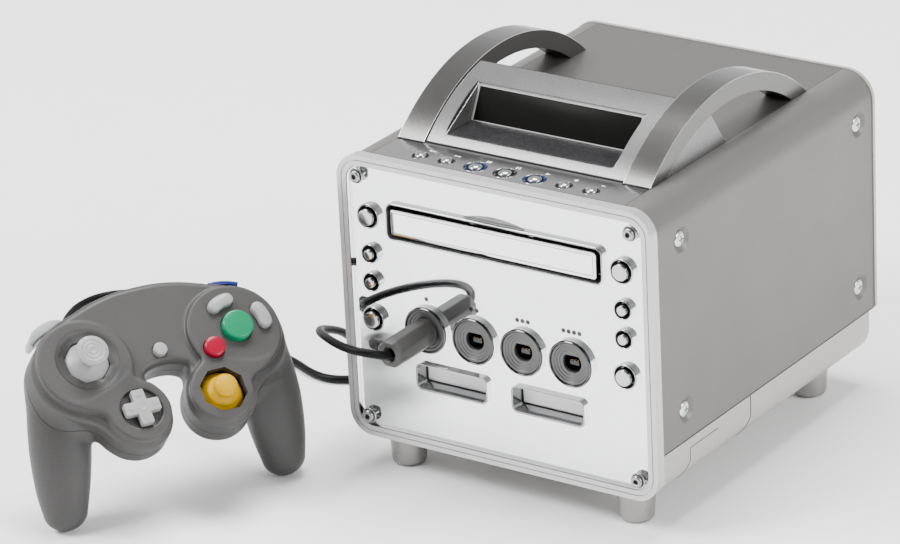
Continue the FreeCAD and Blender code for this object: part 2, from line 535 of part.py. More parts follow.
def cover(sx):
    def sec(off):
        X = dm.side_x - off; Z = dm.top_z - off; r = dm.wrap_rad - off
        return X, Z, r
    Xo, Zo, ro = sec(0); Xi, Zi, ri = sec(dm.wall)
    k = math.sqrt(0.5)
    P = lambda x, z: V(sx * x, yA, z)
    c = (dm.side_x - dm.wrap_rad, dm.top_z - dm.wrap_rad)
    x_in = max(dm.seam_x, 0)
    zl = dm.part_line + 0.2
    e = [Part.LineSegment(P(Xo, zl), P(Xo, c[1])).toShape(), Part.Arc(P(Xo, c[1]), P(c[0] + ro * k, c[1] + ro * k), P(c[0], Zo)).toShape(),
         Part.LineSegment(P(c[0], Zo), P(x_in, Zo)).toShape(), Part.LineSegment(P(x_in, Zo), P(x_in, Zi)).toShape(),
         Part.LineSegment(P(x_in, Zi), P(c[0], Zi)).toShape(), Part.Arc(P(c[0], Zi), P(c[0] + ri * k, c[1] + ri * k), P(Xi, c[1])).toShape(),
         Part.LineSegment(P(Xi, c[1]), P(Xi, zl)).toShape(), Part.LineSegment(P(Xi, zl), P(Xo, zl)).toShape()]
    sh = Part.Face(Part.Wire(e)).extrude(V(0, yB - yA, 0))
    # dimpled screw seats: a dished boss pressed in from outside
    for y in (dm.side_screw_front, dm.side_screw_back):
        for z in (dm.side_screw_low, dm.side_screw_high):
            boss = Part.makeCone(7.6, 5.2, 2.2, V(sx * (dm.side_x - 1.4), y, z), V(-sx, 0, 0))
            sh = sh.fuse(boss)
            sh = sh.cut([Part.makeCone(6.6, 4.3, 1.7, V(sx * (dm.side_x + 0.01), y, z), V(-sx, 0, 0)), Part.makeCylinder(1.7, 8, V(sx * (dm.side_x + 1), y, z), V(-sx, 0, 0))])
    return sh


feature("left_side_cover", cover(-1))
feature("right_side_cover", cover(1))


def tub_section(off, y0, y1, top):
    X = dm.side_x - off; zb = dm.panel_low + off; r = dm.bezel_rad - off
    k = 1 - math.sqrt(0.5)
    P = lambda x, z: V(x, y0, z)
    e = [Part.LineSegment(P(-X, top), P(-X, zb + r)).toShape(), Part.Arc(P(-X, zb + r), P(-X + r * k, zb + r * k), P(-X + r, zb)).toShape(),
         Part.LineSegment(P(-X + r, zb), P(X - r, zb)).toShape(), Part.Arc(P(X - r, zb), P(X - r * k, zb + r * k), P(X, zb + r)).toShape(),
         Part.LineSegment(P(X, zb + r), P(X, top)).toShape(), Part.LineSegment(P(X, top), P(-X, top)).toShape()]
    return Part.Face(Part.Wire(e)).extrude(V(0, y1 - y0, 0))


tub = tub_section(0, yA, dm.body_deep - 1.6, dm.part_line)
# rounded lower rear edge
es = [e for e in tub.Edges if e.BoundBox.YMin > dm.body_deep - 1.7 and e.BoundBox.ZMax < 19]
try:
    t2 = tub.makeFillet(7.0, [e for e in tub.Edges if e.BoundBox.YMin > dm.body_deep - 1.7 and e.BoundBox.ZMin < dm.part_line - 1 and e.BoundBox.ZMax < dm.part_line - 0.5])
    tub = t2 if t2.isValid() else tub
except Exception as ex:
    print("tub fillet", ex)
tub = tub.cut(tub_section(2.0, yA - 1, dm.body_deep - 9, dm.part_line + 1))
holes = [zcyl(sx * dm.foot_x, y, 2.1, 16, 24) for sx in (-1, 1) for y in (dm.foot_front, dm.foot_back)]
holes += [bx(-40 + 8 * k, -36 + 8 * k, 70, 130, 17, 21) for k in range(11)]
tub = tub.cut(holes)
tub = tub.fuse([zcyl(sx * 57, y, 3.5, 19.9, 46) for sx in (-1, 1) for y in (40, 120, 185)])
feature("base_tub", tub)

# four conical feet, each a turned piece with a stud
fr, fb, fh = dm.foot_top_rad, dm.foot_low_rad, dm.foot_high
def foot(x, y):
    pr = [(0, 0), (6.7, 0), (7.9, 0.5), (8.5, 1.5), (fb, 2.6), (fr, fh - 0.02), (2.0, fh - 0.02), (2.0, 23.0), (0, 23.0)]
    w = Part.makePolygon([V(p[0], 0, p[1]) for p in pr + pr[:1]])
    return Part.Face(w).revolve(V(0, 0, 0), V(0, 0, 1), 360).translate(V(x, y, 0))
feature("feet", group([foot(sx * dm.foot_x, y) for sx in (-1, 1) for y in (dm.foot_front, dm.foot_back)]))

# ------------------------------------------------------------------ screws
scr = []
for x, z in SCREWS:
    h = ycyl(x, z, 3.1, -2.3, -0.1).fuse([ycyl(x, z, 3.9, -0.15, 0.45), ycyl(x, z, 1.5, 0.4, f1 + 5)])
    h = h.cut([ycyl(x, z, 1.5, -2.4, -0.9)])
    scr.append(h)
for sx in (-1, 1):
    for y in (dm.side_screw_front, dm.side_screw_back):
        for z in (dm.side_screw_low, dm.side_screw_high):
            c = Part.makeCylinder(3.7, 0.5, V(sx * (dm.side_x - 1.65), y, z), V(sx, 0, 0))
            dome = Part.makeCone(3.7, 2.6, 1.1, V(sx * (dm.side_x - 1.15), y, z), V(sx, 0, 0))
            stem = Part.makeCylinder(1.5, 7, V(sx * (dm.side_x - 8.6), y, z), V(sx, 0, 0))
            h = c.fuse([dome, stem])
            for a, b in ((1.9, 0.45), (0.45, 1.9)):
                h = h.cut(bx(min(sx * (dm.side_x - 0.75), sx * (dm.side_x + 1)), max(sx * (dm.side_x - 0.75), sx * (dm.side_x + 1)), y - a, y + a, z - b, z + b))
            scr.append(h)
feature("cover_screws", group(scr))

# ------------------------------------------------------------------ rear: panel, handle, sockets, fan
def rear_outline(off, y0, y1):
    X = dm.side_x + 0.5 - off; zb = dm.part_line + 0.2; zt = dm.top_z + 0.4 - off; r = dm.wrap_rad - off + 0.3
    k = 1 - math.sqrt(0.5)
    P = lambda x, z: V(x, y0, z)
    e = [Part.LineSegment(P(-X, zb), P(X, zb)).toShape(), Part.LineSegment(P(X, zb), P(X, zt - r)).toShape(),
         Part.Arc(P(X, zt - r), P(X - r * k, zt - r * k), P(X - r, zt)).toShape(), Part.LineSegment(P(X - r, zt), P(-X + r, zt)).toShape(),
         Part.Arc(P(-X + r, zt), P(-X + r * k, zt - r * k), P(-X, zt - r)).toShape(), Part.LineSegment(P(-X, zt - r), P(-X, zb)).toShape()]
    return Part.Face(Part.Wire(e)).extrude(V(0, y1 - y0, 0))


ry0, ry1 = dm.body_deep - 1.4, dm.body_deep + 0.8
rear = rear_outline(0, ry0, ry1)
tools = [rear_outline(2.2, ry1 - 0.7, ry1 + 1).common(bx(-200, 200, 0, 400, dm.part_line + 2.4, 400))]
for i in range(-3, 4):                     # fan grille: level slots in a circle
    zc = dm.fan_z + i * 6.0
    half = math.sqrt(max(dm.fan_rad ** 2 - (i * 6.0) ** 2, 1.0))
    tools.append(rr_prism(dm.fan_x, zc, 2 * half, 3.4, 1.6, ry0 - 1, ry1 + 1))
tools += [rr_prism(44, 70, 24.6, 16.6, 2, ry0 - 1, ry1 + 1), rr_prism(-30, 62, 70.6, 22.6, 2, ry0 - 1, ry1 + 1)]
tools += [ycyl(sx * dm.handle_half, dm.handle_z, 2.6, ry0 - 1, ry1 + 1) for sx in (-1, 1)]
rear = rear.cut(tools)
# stator post of the fan
rear = rear.fuse([ycyl(dm.fan_x, dm.fan_z, 1.98, ry0 - 12, ry0 + 0.2), ycyl(dm.fan_x, dm.fan_z, 6.0, ry0 - 1.6, ry0 + 0.1)])
feature("rear_panel", rear)

# carrying handle behind: one bent bar on two flanged legs
hb, hy, R = dm.handle_bar, dm.handle_back - dm.handle_bar, 14.0
x1 = dm.handle_half
P = lambda x, y: V(x, y, dm.handle_z)
k = R * (1 - math.sqrt(0.5))
path = Part.Wire([Part.LineSegment(P(-x1, ry1 + 0.05), P(-x1, hy - R)).toShape(), Part.Arc(P(-x1, hy - R), P(-x1 + k, hy - k), P(-x1 + R, hy)).toShape(),
                  Part.LineSegment(P(-x1 + R, hy), P(x1 - R, hy)).toShape(), Part.Arc(P(x1 - R, hy), P(x1 - k, hy - k), P(x1, hy - R)).toShape(),
                  Part.LineSegment(P(x1, hy - R), P(x1, ry1 + 0.05)).toShape()])
prof = Part.Wire([Part.Circle(P(-x1, ry1 + 0.05), V(0, 1, 0), hb).toShape()])
bar = path.makePipeShell([prof], True, False)
hnd = bar.fuse([ycyl(sx * x1, dm.handle_z, 8.5, ry1 - 0.68, ry1 + 3.0) for sx in (-1, 1)] + [ycyl(sx * x1, dm.handle_z, 2.3, ry0 - 3, ry1 + 0.2) for sx in (-1, 1)])
feature("rear_handle", hnd)

blk = rr_prism(44, 70, 24, 16, 1.8, ry0 - 14, ry1 + 0.4)
blk = blk.cut(rr_prism(44, 70, 19, 9.0, 4.4, ry1 - 9, ry1 + 1))
blk = blk.fuse([ycyl(44 + sx * 4.3, 70, 1.3, ry1 - 9.2, ry1 - 1.0) for sx in (-1, 1)])
avb = rr_prism(-30, 62, 70, 22, 1.8, ry0 - 10, ry1 + 0.2)
for i in range(6):
    xx = -58 + i * 11.2
    avb = avb.fuse(ycyl(xx, 62, 4.2, ry1 - 0.1, ry1 + 8.0))
    avb = avb.cut([ycyl(xx, 62, 3.3, ry1 + 1.0, ry1 + 9), ]).fuse(ycyl(xx, 62, 2.3, ry1 + 0.9, ry1 + 6.0)).cut(ycyl(xx, 62, 1.5, ry1 + 1.0, ry1 + 9))
feature("rear_sockets", group([blk, avb]))

hub = ycyl(dm.fan_x, dm.fan_z, 9.5, ry0 - 12.5, ry0 - 2.2)
bl = []
for k in range(7):
    b = Part.makeBox(12.5, 9.0, 1.3, V(8.8, 0, -0.65))
    b.rotate(V(15, 4.5, 0), V(1, 0, 0), 38)
    b.translate(V(0, ry0 - 11.8, 0))
    b.rotate(V(), V(0, 1, 0), 360.0 / 7 * k)
    b.translate(V(dm.fan_x, 0, dm.fan_z))
    bl.append(b)
rot_ = hub.fuse(bl).cut([ycyl(dm.fan_x, dm.fan_z, 2.05, ry0 - 14, ry0), ycyl(dm.fan_x, dm.fan_z, 7.5, ry0 - 7, ry0 - 2)])
rot_ = rot_.common(ycyl(dm.fan_x, dm.fan_z, 21.0, ry0 - 14, ry0 - 2.0))
feature("fan_rotor", rot_)

# ------------------------------------------------------------------ boards
b0 = box("board", "-62", "32", "46", "124", "160", "1.6")
b1 = box("chip_a", "-15", "80", "47.6", "28", "28", "3")
b2 = box("chip_b", "30", "90", "47.6", "20", "20", "2.4")
fins = [box("fin_%d" % i, "%g" % (-18 + 5 * i), "76", "50.6", "1.6", "36", "16") for i in range(7)]
b3 = box("sink_base", "-18", "76", "50.5", "31.6", "36", "3")
fb_ = fuse("main_board_fused", [b0, b1, b2, b3] + fins)
org(fb_)
node(fb_, "main_board")
# ================================================================== gamepad
psi, lean = math.radians(dm.pad_turn), math.radians(dm.pad_lean)
ex = V(math.cos(psi), math.sin(psi), 0)
ez = V(math.cos(lean) * math.sin(psi), -math.cos(lean) * math.cos(psi), math.sin(lean))
ey = ez.cross(ex)
# the set-up rests on the two grip tips
pad_z = dm.tip_rad - dm.tip_y * ey.z - dm.tip_z * ez.z
print("pad height", round(pad_z, 3), "sheet", dm.pad_z)
PM = Placement(Matrix(ex.x, ey.x, ez.x, dm.pad_x, ex.y, ey.y, ez.y, dm.pad_y, ex.z, ey.z, ez.z, pad_z, 0, 0, 0, 1))


def pad_feature(label, shape):
    o = doc.addObject("Part::Feature", label)
    o.Shape = shape
    o.Placement = Placement(ORG, Rotation()).multiply(PM)
    return node(o, label)


HALF = [(0, 36.0), (12, 35.5), (24, 33.2), (35, 29.6), (45, 26.2), (53, 21.6), (59.5, 15.4), (64.0, 7.5), (65.8, -1.5), (64.4, -11.0), (59.8, -19.0),
        (52.6, -25.0), (45.6, -29.0), (41.2, -33.2), (38.0, -38.6), (32.4, -44.6), (24.6, -47.8), (16.6, -47.2), (9.8, -43.4), (5.6, -37.0), (4.6, -29.4), (6.8, -21.8), (10.6, -15.6),
        (11.0, -11.0), (6.5, -8.4), (0, -7.6)]
ring = HALF + [(-x, y) for x, y in reversed(HALF[1:-1])]


def outline(z, shrink=0.0, low=-7.6):
    pts = []
    n = len(ring)
    for i, (x, y) in enumerate(ring):
        (xa, ya), (xb, yb) = ring[i - 1], ring[(i + 1) % n]
        tx, ty = xb - xa, yb - ya
        l = math.hypot(tx, ty)
        pts.append(V(x + ty / l * -shrink, y - tx / l * -shrink, z))
    c = Part.BSplineCurve()
    c.interpolate(Points=pts, PeriodicFlag=True)
    return Part.Wire([c.toShape()])


def slab(z0, z1, shrink=0.0):
    return Part.Face(outline(z0, shrink)).extrude(V(0, 0, z1 - z0))


SEAM = -13.0
plate_r, pod_r = 23.6, 15.8
sx_, sy_ = dm.stick_x, dm.stick_y


def octagon(x, y, r, z0, z1, turn=22.5):
    pts = [V(x + r * math.cos(math.radians(turn + 45 * k)), y + r * math.sin(math.radians(turn + 45 * k)), z0) for k in range(8)]
    return Part.Face(Part.makePolygon(pts + pts[:1])).extrude(V(0, 0, z1 - z0))


def kidney(cx, cy, r, a0, a1, w, z0, z1):
    """bean-shaped key: a thick arc of radius r about (cx, cy) with round ends"""
    a0r, a1r, am = math.radians(a0), math.radians(a1), math.radians((a0 + a1) / 2)
    P = lambda rad, a: V(cx + rad * math.cos(a), cy + rad * math.sin(a), z0)
    ro, ri = r + w / 2, r - w / 2
    e = [Part.Arc(P(ri, a0r), P(ri, am), P(ri, a1r)).toShape(), Part.Arc(P(ro, a0r), P(ro, am), P(ro, a1r)).toShape()]
    c1 = P(r, a1r); t1 = V(-math.sin(a1r), math.cos(a1r), 0) * (w / 2)
    c0 = P(r, a0r); t0_ = V(math.sin(a0r), -math.cos(a0r), 0) * (w / 2)
    e += [Part.Arc(P(ri, a1r), c1 + t1, P(ro, a1r)).toShape(), Part.Arc(P(ri, a0r), c0 + t0_, P(ro, a0r)).toShape()]
    w_ = Part.Wire(Part.__sortEdges__(e))
    return Part.Face(w_).extrude(V(0, 0, z1 - z0))


AX, AY = 41.0, 0.4
BXc, BYc = 25.8, -7.6
Yk = dict(cx=AX, cy=AY, r=14.8, a0=91, a1=121)
Xk = dict(cx=AX, cy=AY, r=14.8, a0=-4, a1=26)

upper = slab(SEAM, -3.6)
upper = upper.fuse([zcyl(sx * 39.7, 0, plate_r + 1.2, -6, -1.2) for sx in (-1, 1)])
upper = upper.fuse([zcyl(sx * 39.7, 0, plate_r + 1.2, -1.3, 0.0, plate_r) for sx in (-1, 1)])
upper = upper.fuse([zcyl(sx * 21.8, -30, pod_r + 1.0, -6, -1.2) for sx in (-1, 1)] + [zcyl(sx * 21.8, -30, pod_r + 1.0, -1.3, 0.0, pod_r) for sx in (-1, 1)])
neck = [(22.0, -14.0), (31.0, -14.0), (47.0, -20.0), (40.0, -27.5), (36.6, -32.0), (24, -30.0), (8.5, -24.0), (14.5, -17.0), (18.0, -10.5)]
for sx in (-1, 1):
    w = Part.makePolygon([V(sx * p[0], p[1], -6) for p in neck + neck[:1]])
    upper = upper.fuse(Part.Face(w).extrude(V(0, 0, 5.6)))
inner = slab(SEAM - 0.1, -5.8, 2.2).fuse([zcyl(-39.7, 0, plate_r - 1.6, -6, -4.4), zcyl(39.7, 0, plate_r - 1.6, -6, -2.4), zcyl(-21.8, -30, pod_r - 1.6, -6, -4.4), zcyl(21.8, -30, pod_r - 1.6, -6, -3.6)])
upper = upper.cut(inner)
hole = [octagon(-sx_, sy_, 12.5, -8, 1), zcyl(-sx_, sy_, 15.8, -1.8, 0.2), octagon(dm.cstick_x, dm.cstick_y, 12.0, -8, 1), zcyl(-21.0, -29.2, 10.5, -2.1, 0.2),
        zcyl(-21.0, -29.2, 4.0, -8, 1), zcyl(AX, AY, 8.2, -8, 1), zcyl(BXc, BYc, 5.7, -8, 1), zcyl(0, -0.8, 3.9, -8, 1),
        kidney(w=7.4, z0=-8, z1=1, **Yk), kidney(w=7.4, z0=-8, z1=1, **Xk)]


def sector(sx, r0, r1, a0, a1, z0, z1):
    """part of a ring about the middle of the round shoulder, sx picks the side"""
    P = lambda r, a: V(sx * (39.7 + r * math.cos(math.radians(a))), r * math.sin(math.radians(a)), z0)
    am = (a0 + a1) / 2.0
    e = [Part.Arc(P(r0, a0), P(r0, am), P(r0, a1)).toShape(), Part.LineSegment(P(r0, a1), P(r1, a1)).toShape(),
         Part.Arc(P(r1, a1), P(r1, am), P(r1, a0)).toShape(), Part.LineSegment(P(r1, a0), P(r0, a0)).toShape()]
    return Part.Face(Part.Wire(e)).extrude(V(0, 0, z1 - z0))


upper = upper.cut(hole).cut(sector(1, 25.6, 45, 56, 100, SEAM - 1, -4.9))
pad_feature("gamepad_upper_shell", upper)

lower = slab(-24.0, SEAM - 0.02)
es = [e for e in lower.Edges if e.BoundBox.ZMax < -23.9]
try:
    l2 = lower.makeFillet(3.0, es)
    if l2.isValid() and l2.Volume > 1000:
        lower = l2
except Exception as ex:
    print("lower fillet", ex)


def grip(sx):
    sec = [((52.0, 4.0, -18.0), (0, -0.85, -0.5), 11.5, 6.0), ((53.5, -8.0, -20.5), (0, -0.91, -0.42), 15.0, 8.5), ((55.5, -22.0, -27.0), (0, -0.86, -0.51), 16.2, 11.6),
           ((56.9, -34.0, -34.6), (0, -0.83, -0.56), 15.2, 12.4), ((58.0, -44.5, -42.2), (0, -0.8, -0.6), 12.8, 11.8), ((dm.tip_x, dm.tip_y, dm.tip_z), (0, -0.79, -0.61), dm.tip_rad - 0.1, dm.tip_rad - 0.1)]
    ws = []
    for (x, y, z), (nx_, ny_, nz_), a, b in sec:
        el = Part.Ellipse(V(0, 0, 0), a, b)
        w = Part.Wire([el.toShape()])
        n = V(nx_, ny_, nz_).normalize()
        # major axis stays along x
        xx = V(1, 0, 0); yy = n.cross(xx).normalize()
        m = Matrix(xx.x, yy.x, n.x, sx * x, xx.y, yy.y, n.y, y, xx.z, yy.z, n.z, z, 0, 0, 0, 1)
        w.Placement = Placement(m)
        ws.append(w)
    lo = Part.makeLoft(ws, True, False)
    tip = Part.makeSphere(dm.tip_rad, V(sx * dm.tip_x, dm.tip_y, dm.tip_z))
    return lo.fuse(tip)


for sx in (-1, 1):
    lower = lower.fuse(grip(sx))
# the grips stay under the seam
lower = lower.common(bx(-90, 90, -90, 60, -70, SEAM - 0.02))
cavity = slab(-21.5, SEAM + 1, 2.4).cut([sector(sx, 17.6, 50, 42, 104, -30, 0) for sx in (-1, 1)])
lower = lower.cut(cavity)
lower = lower.cut([sector(sx, 19.6, 50, 46, 100, -35, SEAM + 1) for sx in (-1, 1)])
# posts that carry the stick gimbals
for (qx, qy) in ((-sx_, sy_), (dm.cstick_x, dm.cstick_y)):
    lower = lower.fuse([bx(qx + k * 10.6 - 1.0, qx + k * 10.6 + 1.0, qy - 2.2, qy + 2.2, -21.6, -11.0) for k in (-1, 1)])
# gland where the cord leaves the back
gl = Part.makeCylinder(4.4, 10.0, V(0, 24, -20.0), V(0, 0, -1)).fuse(Part.makeCone(4.4, 2.9, 8.0, V(0, 24, -30.0), V(0, 0, -1)))
lower = lower.fuse(gl)
pad_feature("gamepad_lower_shell", lower)


def ball_cap(x, y, piv, R, z0):
    s = Part.makeSphere(R, V(x, y, piv))
    return s.common(bx(x - 20, x + 20, y - 20, y + 20, z0, z0 + 30)).cut(Part.makeSphere(R - 1.6, V(x, y, piv)))


PIV = -13.0
st = ball_cap(-sx_, sy_, PIV, 14.0, -4.4).fuse([zcyl(-sx_, sy_, 2.2, PIV - 1.5, 0), zcyl(-sx_, sy_, 3.4, -3.0, 9.0), zcyl(-sx_, sy_, 8.0, 8.0, 11.2), ycyl(-sx_, PIV, 1.0, sy_ - 4.85, sy_ + 4.85)])
st = st.cut([zcyl(-sx_, sy_, r + 0.35, 10.9, 11.4).cut(zcyl(-sx_, sy_, r - 0.35, 10.8, 11.5)) for r in (2.2, 4.2, 6.2)])
pad_feature("main_stick", st)
gm = zcyl(-sx_, sy_, 7.5, PIV - 1.6, PIV + 1.6).cut(zcyl(-sx_, sy_, 5.0, PIV - 3, PIV + 3))
gm = gm.fuse([Part.makeCylinder(1.2, 2.9, V(-sx_ + k, sy_, PIV), V(1, 0, 0)) for k in (-9.5, 6.6)])
pad_feature("main_stick_gimbal", gm)
cx_, cy_ = dm.cstick_x, dm.cstick_y
cs = ball_cap(cx_, cy_, PIV, 13.2, -4.4).fuse([zcyl(cx_, cy_, 2.2, PIV - 1.5, 0), zcyl(cx_, cy_, 3.2, -3.0, 4.0), zcyl(cx_, cy_, 5.4, 2.5, 7.2), ycyl(cx_, PIV, 1.0, cy_ - 4.65, cy_ + 4.65)])
pad_feature("small_stick", cs)
gm = zcyl(cx_, cy_, 7.0, PIV - 1.6, PIV + 1.6).cut(zcyl(cx_, cy_, 4.8, PIV - 3, PIV + 3))
gm = gm.fuse([Part.makeCylinder(1.2, 3.1, V(cx_ + k, cy_, PIV), V(1, 0, 0)) for k in (-9.5, 6.4)])
pad_feature("small_stick_gimbal", gm)

dp = bx(-21 - 9.2, -21 + 9.2, -29.2 - 3.3, -29.2 + 3.3, -1.2, 2.4).fuse([bx(-21 - 3.3, -21 + 3.3, -29.2 - 9.2, -29.2 + 9.2, -1.2, 2.4), zcyl(-21, -29.2, 2.9, -9.0, -1.0), Part.makeSphere(3.3, V(-21, -29.2, -3.0))])
pad_feature("direction_pad", dp)
pad_feature("a_button", zcyl(AX, AY, 7.8, -6.0, 3.4).fuse(zcyl(AX, AY, 7.8, 3.4, 4.4, 6.9)))
pad_feature("b_button", zcyl(BXc, BYc, 5.3, -6.0, 2.6).fuse(zcyl(BXc, BYc, 5.3, 2.6, 3.4, 4.5)))
pad_feature("x_button", kidney(w=6.6, z0=-6.0, z1=3.6, **Xk))
pad_feature("y_button", kidney(w=6.6, z0=-6.0, z1=3.6, **Yk))
pad_feature("start_button", zcyl(0, -0.8, 3.5, -7.5, -1.2).fuse(zcyl(0, -0.8, 3.5, -1.2, -0.6, 2.9)))
# shoulder keys: a thin digital key on the right over the two triggers
pad_feature("shoulder_button", sector(1, 26.8, 30.2, 62, 94, -12.2, -5.5))


def trigger(sx):
    """bowed block that follows the shoulder and swells outwards"""
    P = lambda a, r, z=-23.6: V(sx * (39.7 + r * math.cos(math.radians(a))), r * math.sin(math.radians(a)), z)
    e = [Part.Arc(P(51, 26.6), P(73, 26.9), P(95, 27.2)).toShape()]
    outer = [P(51, 29.4), P(57, 31.4), P(67, 32.7), P(79, 33.1), P(89, 32.6), P(95, 30.8)]
    c = Part.BSplineCurve()
    c.interpolate(outer)
    e += [c.toShape(), Part.LineSegment(P(51, 26.6), outer[0]).toShape(), Part.LineSegment(P(95, 27.2), outer[-1]).toShape()]
    t = Part.Face(Part.Wire(Part.__sortEdges__(e))).extrude(V(0, 0, 10.2))
    try:
        f = t.makeFillet(1.6, [q for q in t.Edges if q.BoundBox.YMin > 20 and abs(q.BoundBox.ZMax - q.BoundBox.ZMin) < 0.1 and q.Length > 15 and q.BoundBox.YMax > 33])
        t = f if f.isValid() and f.Volume > 500 else t
    except Exception as ex:
        print("trigger fillet", ex)
    # hinge barrel
    return t.fuse(Part.makeCylinder(1.3, 13.0, V(sx * 38.4, 30.0, -23.6), V(sx, 0, 0)))


pad_feature("left_trigger", trigger(-1))
pad_feature("right_trigger", trigger(1))

# ------------------------------------------------------------------ plug and cord
px_, pz_ = PORTS[0], dm.port_z - 0.6
oct_pts = lambda r, y: [V(px_ + r * math.cos(math.radians(22.5 + 45 * k)), y, pz_ + r * math.sin(math.radians(22.5 + 45 * k))) for k in range(8)]
pp = Part.Face(Part.makePolygon(oct_pts(7.5, -26.6) + oct_pts(7.5, -26.6)[:1])).extrude(V(0, 27.2, 0))
plug = pp.fuse(ycyl(px_, pz_ + 0.6, 4.7, 0.5, 11).cut(bx(px_ - 8, px_ + 8, -1, 15, pz_ + 0.6 + 3.2, pz_ + 9)))
plug = plug.cut(ycyl(px_, pz_, 3.4, -27, -23.0))
feature("gamepad_plug", plug)

dd = dm.cord_dia


def arc_path(P):
    """runs joined by tangent arcs, each radius 0.45 of the shorter run over tan(half the turn)"""
    n = len(P)
    cuts = []
    for i in range(1, n - 1):
        a, b = P[i] - P[i - 1], P[i + 1] - P[i]
        la, lb = a.Length, b.Length
        th = a.getAngle(b)
        sh = 0.45 * min(la, lb)
        cuts.append((sh, sh / math.tan(th / 2), th, a.normalize(), b.normalize()))
    edges, cur, length, radii = [], P[0], 0, []
    for i, (sh, rad, th, a, b) in enumerate(cuts):
        p = P[i + 1]
        s0, s1 = p - a * sh, p + b * sh
        edges.append(Part.LineSegment(cur, s0).toShape())
        length += (s0 - cur).Length
        bis = (b - a); bis.normalize()
        c = p + bis * math.hypot(rad, sh)
        m = c - bis * rad
        edges.append(Part.Arc(s0, m, s1).toShape())
        length += rad * th
        radii.append((round(rad, 1), round(math.degrees(th))))
        cur = s1
    edges.append(Part.LineSegment(cur, P[-1]).toShape())
    length += (P[-1] - cur).Length
    return edges, length, radii


def to_world(l):
    return PM.multVec(V(*l))


g0 = to_world((0, 24, -38.0))
gd = ez * -1
# route from the plug to the coil, then from the coil to the gamepad (console frame); the coil winds clockwise
coil_c = V(-124.0, 127.0, 0)
coil_rm, coil_ro, coil_ri, coil_h = 23.0, 29.9, 16.1, 17.2
ROUTE_A = [V(px_, -23.0, pz_), V(px_ - 0.6, -32.0, pz_ - 0.2), V(px_ - 7.5, -37.5, pz_ - 1.0), V(px_ - 18.5, -37.0, pz_ - 2.5), V(px_ - 34.0, -29.5, pz_ - 4.5), V(px_ - 49.5, -19.5, pz_ - 8.0),
           V(px_ - 62.0, -7.0, pz_ - 12.5), V(px_ - 66.5, 8.0, pz_ - 17.5), V(px_ - 65.0, 24.0, pz_ - 25.5), V(px_ - 64.0, 39.0, pz_ - 38.5), V(px_ - 68.5, 54.5, pz_ - 54.0), V(px_ - 77.5, 73.0, pz_ - 66.0), V(px_ - 89.5, 92.5, pz_ - 67.6), V(px_ - 100.8, 110.5, pz_ - 66.6)]
ROUTE_B = [V(-110.8, 108.2, 2.3), V(-124.7, 98.4, 2.3), V(-137.0, 86.6, 2.3), V(-147.5, 77.6, 2.3), V(-158.5, 73.0, 2.3), V(-171.0, 75.4, 2.3), V(-185.5, 82.4, 2.3), V(-204.0, 88.0, 2.3), V(-232.0, 97.0, 2.3), V(-262.0, 107.5, 2.3),
           V(-287.0, 117.5, 2.3), V(-310.5, 119.5, 2.3), V(-328.5, 109.0, 2.3), V(-335.0, 91.5, 2.3), V(-329.0, 69.5, 2.3), V(-314.0, 46.5, 2.3), V(-293.0, 26.0, 2.3), V(-270.0, 8.0, 2.4), V(-247.0, -8.5, 5.5), V(-228.5, -23.0, 14.0), V(-213.5, -35.0, 28.5), V(-202.0, -44.2, 45.5)]


def tube(route, label):
    edges, length, radii = arc_path(route)
    w = Part.Wire(edges)
    t0v = (route[1] - route[0]).normalize()
    c = Part.Wire([Part.Circle(route[0], t0v, dd / 2).toShape()])
    t = w.makePipeShell([c], True, False)
    print(label, "length %.1f volume ratio %.4f" % (length, t.Volume / (math.pi * dd * dd / 4 * length)), "radii", radii)
    return t, length


ROUTE_B = ROUTE_B + [g0 + gd * 12.0, g0]
tA, lA = tube(ROUTE_A, "plug to coil")
tB, lB = tube(ROUTE_B, "coil to gamepad")
feature("gamepad_cord", group([tA, tB]))
ring_c = Part.makeCylinder(coil_ro, coil_h, coil_c + V(0, 0, 0.2)).cut(Part.makeCylinder(coil_ri, coil_h + 2, coil_c + V(0, 0, -1)))
feature("cord_coil", ring_c)
print("cord lengths", round(lA), round(lB), "total", round(lA + lB))

# ------------------------------------------------------------------ checks and export
doc.recompute()
bad = []
for o in doc.Objects:
    if any(s_ in ("Invalid", "Error") for s_ in o.State):
        bad.append((o.Name, o.State))
for lab, o in NODES:
    sh = o.Shape
    if sh.isNull() or not sh.isValid() or not sh.Solids:
        bad.append((lab, "shape"))
os.makedirs("parts", exist_ok=True)
tot = None
for lab, o in NODES:
    sh = o.Shape
    sh2 = sh.copy()
    sh2.tessellate(0.05)
    bb = sh2.optimalBoundingBox(True, False)
    nsol = len(sh.Solids)
    print("%-22s solids %d vol %9.0f  x %.1f %.1f y %.1f %.1f z %.2f %.2f" % (lab, nsol, sh.Volume, bb.XMin, bb.XMax, bb.YMin, bb.YMax, bb.ZMin, bb.ZMax))
    if lab not in ("gamepad_cord", "cord_coil", "gamepad_plug"):
        if tot is None:
            tot = [bb.XMin, bb.XMax, bb.YMin, bb.YMax, bb.ZMin, bb.ZMax]
        else:
            tot = [min(tot[0], bb.XMin), max(tot[1], bb.XMax), min(tot[2], bb.YMin), max(tot[3], bb.YMax), min(tot[4], bb.ZMin), max(tot[5], bb.ZMax)]
print("nodes", len(NODES), "box without cord", [round(t, 3) for t in tot], "centre", round((tot[0] + tot[1]) / 2, 3), round((tot[2] + tot[3]) / 2, 3))
if bad:
    raise SystemExit("failed objects: %s" % bad)
for lab, o in NODES:
    o.Shape.exportStep("parts/%s.step" % lab)
print("done")
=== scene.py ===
import bpy, bmesh, json, math, random
import numpy as np
from mathutils import Vector, Matrix, Euler

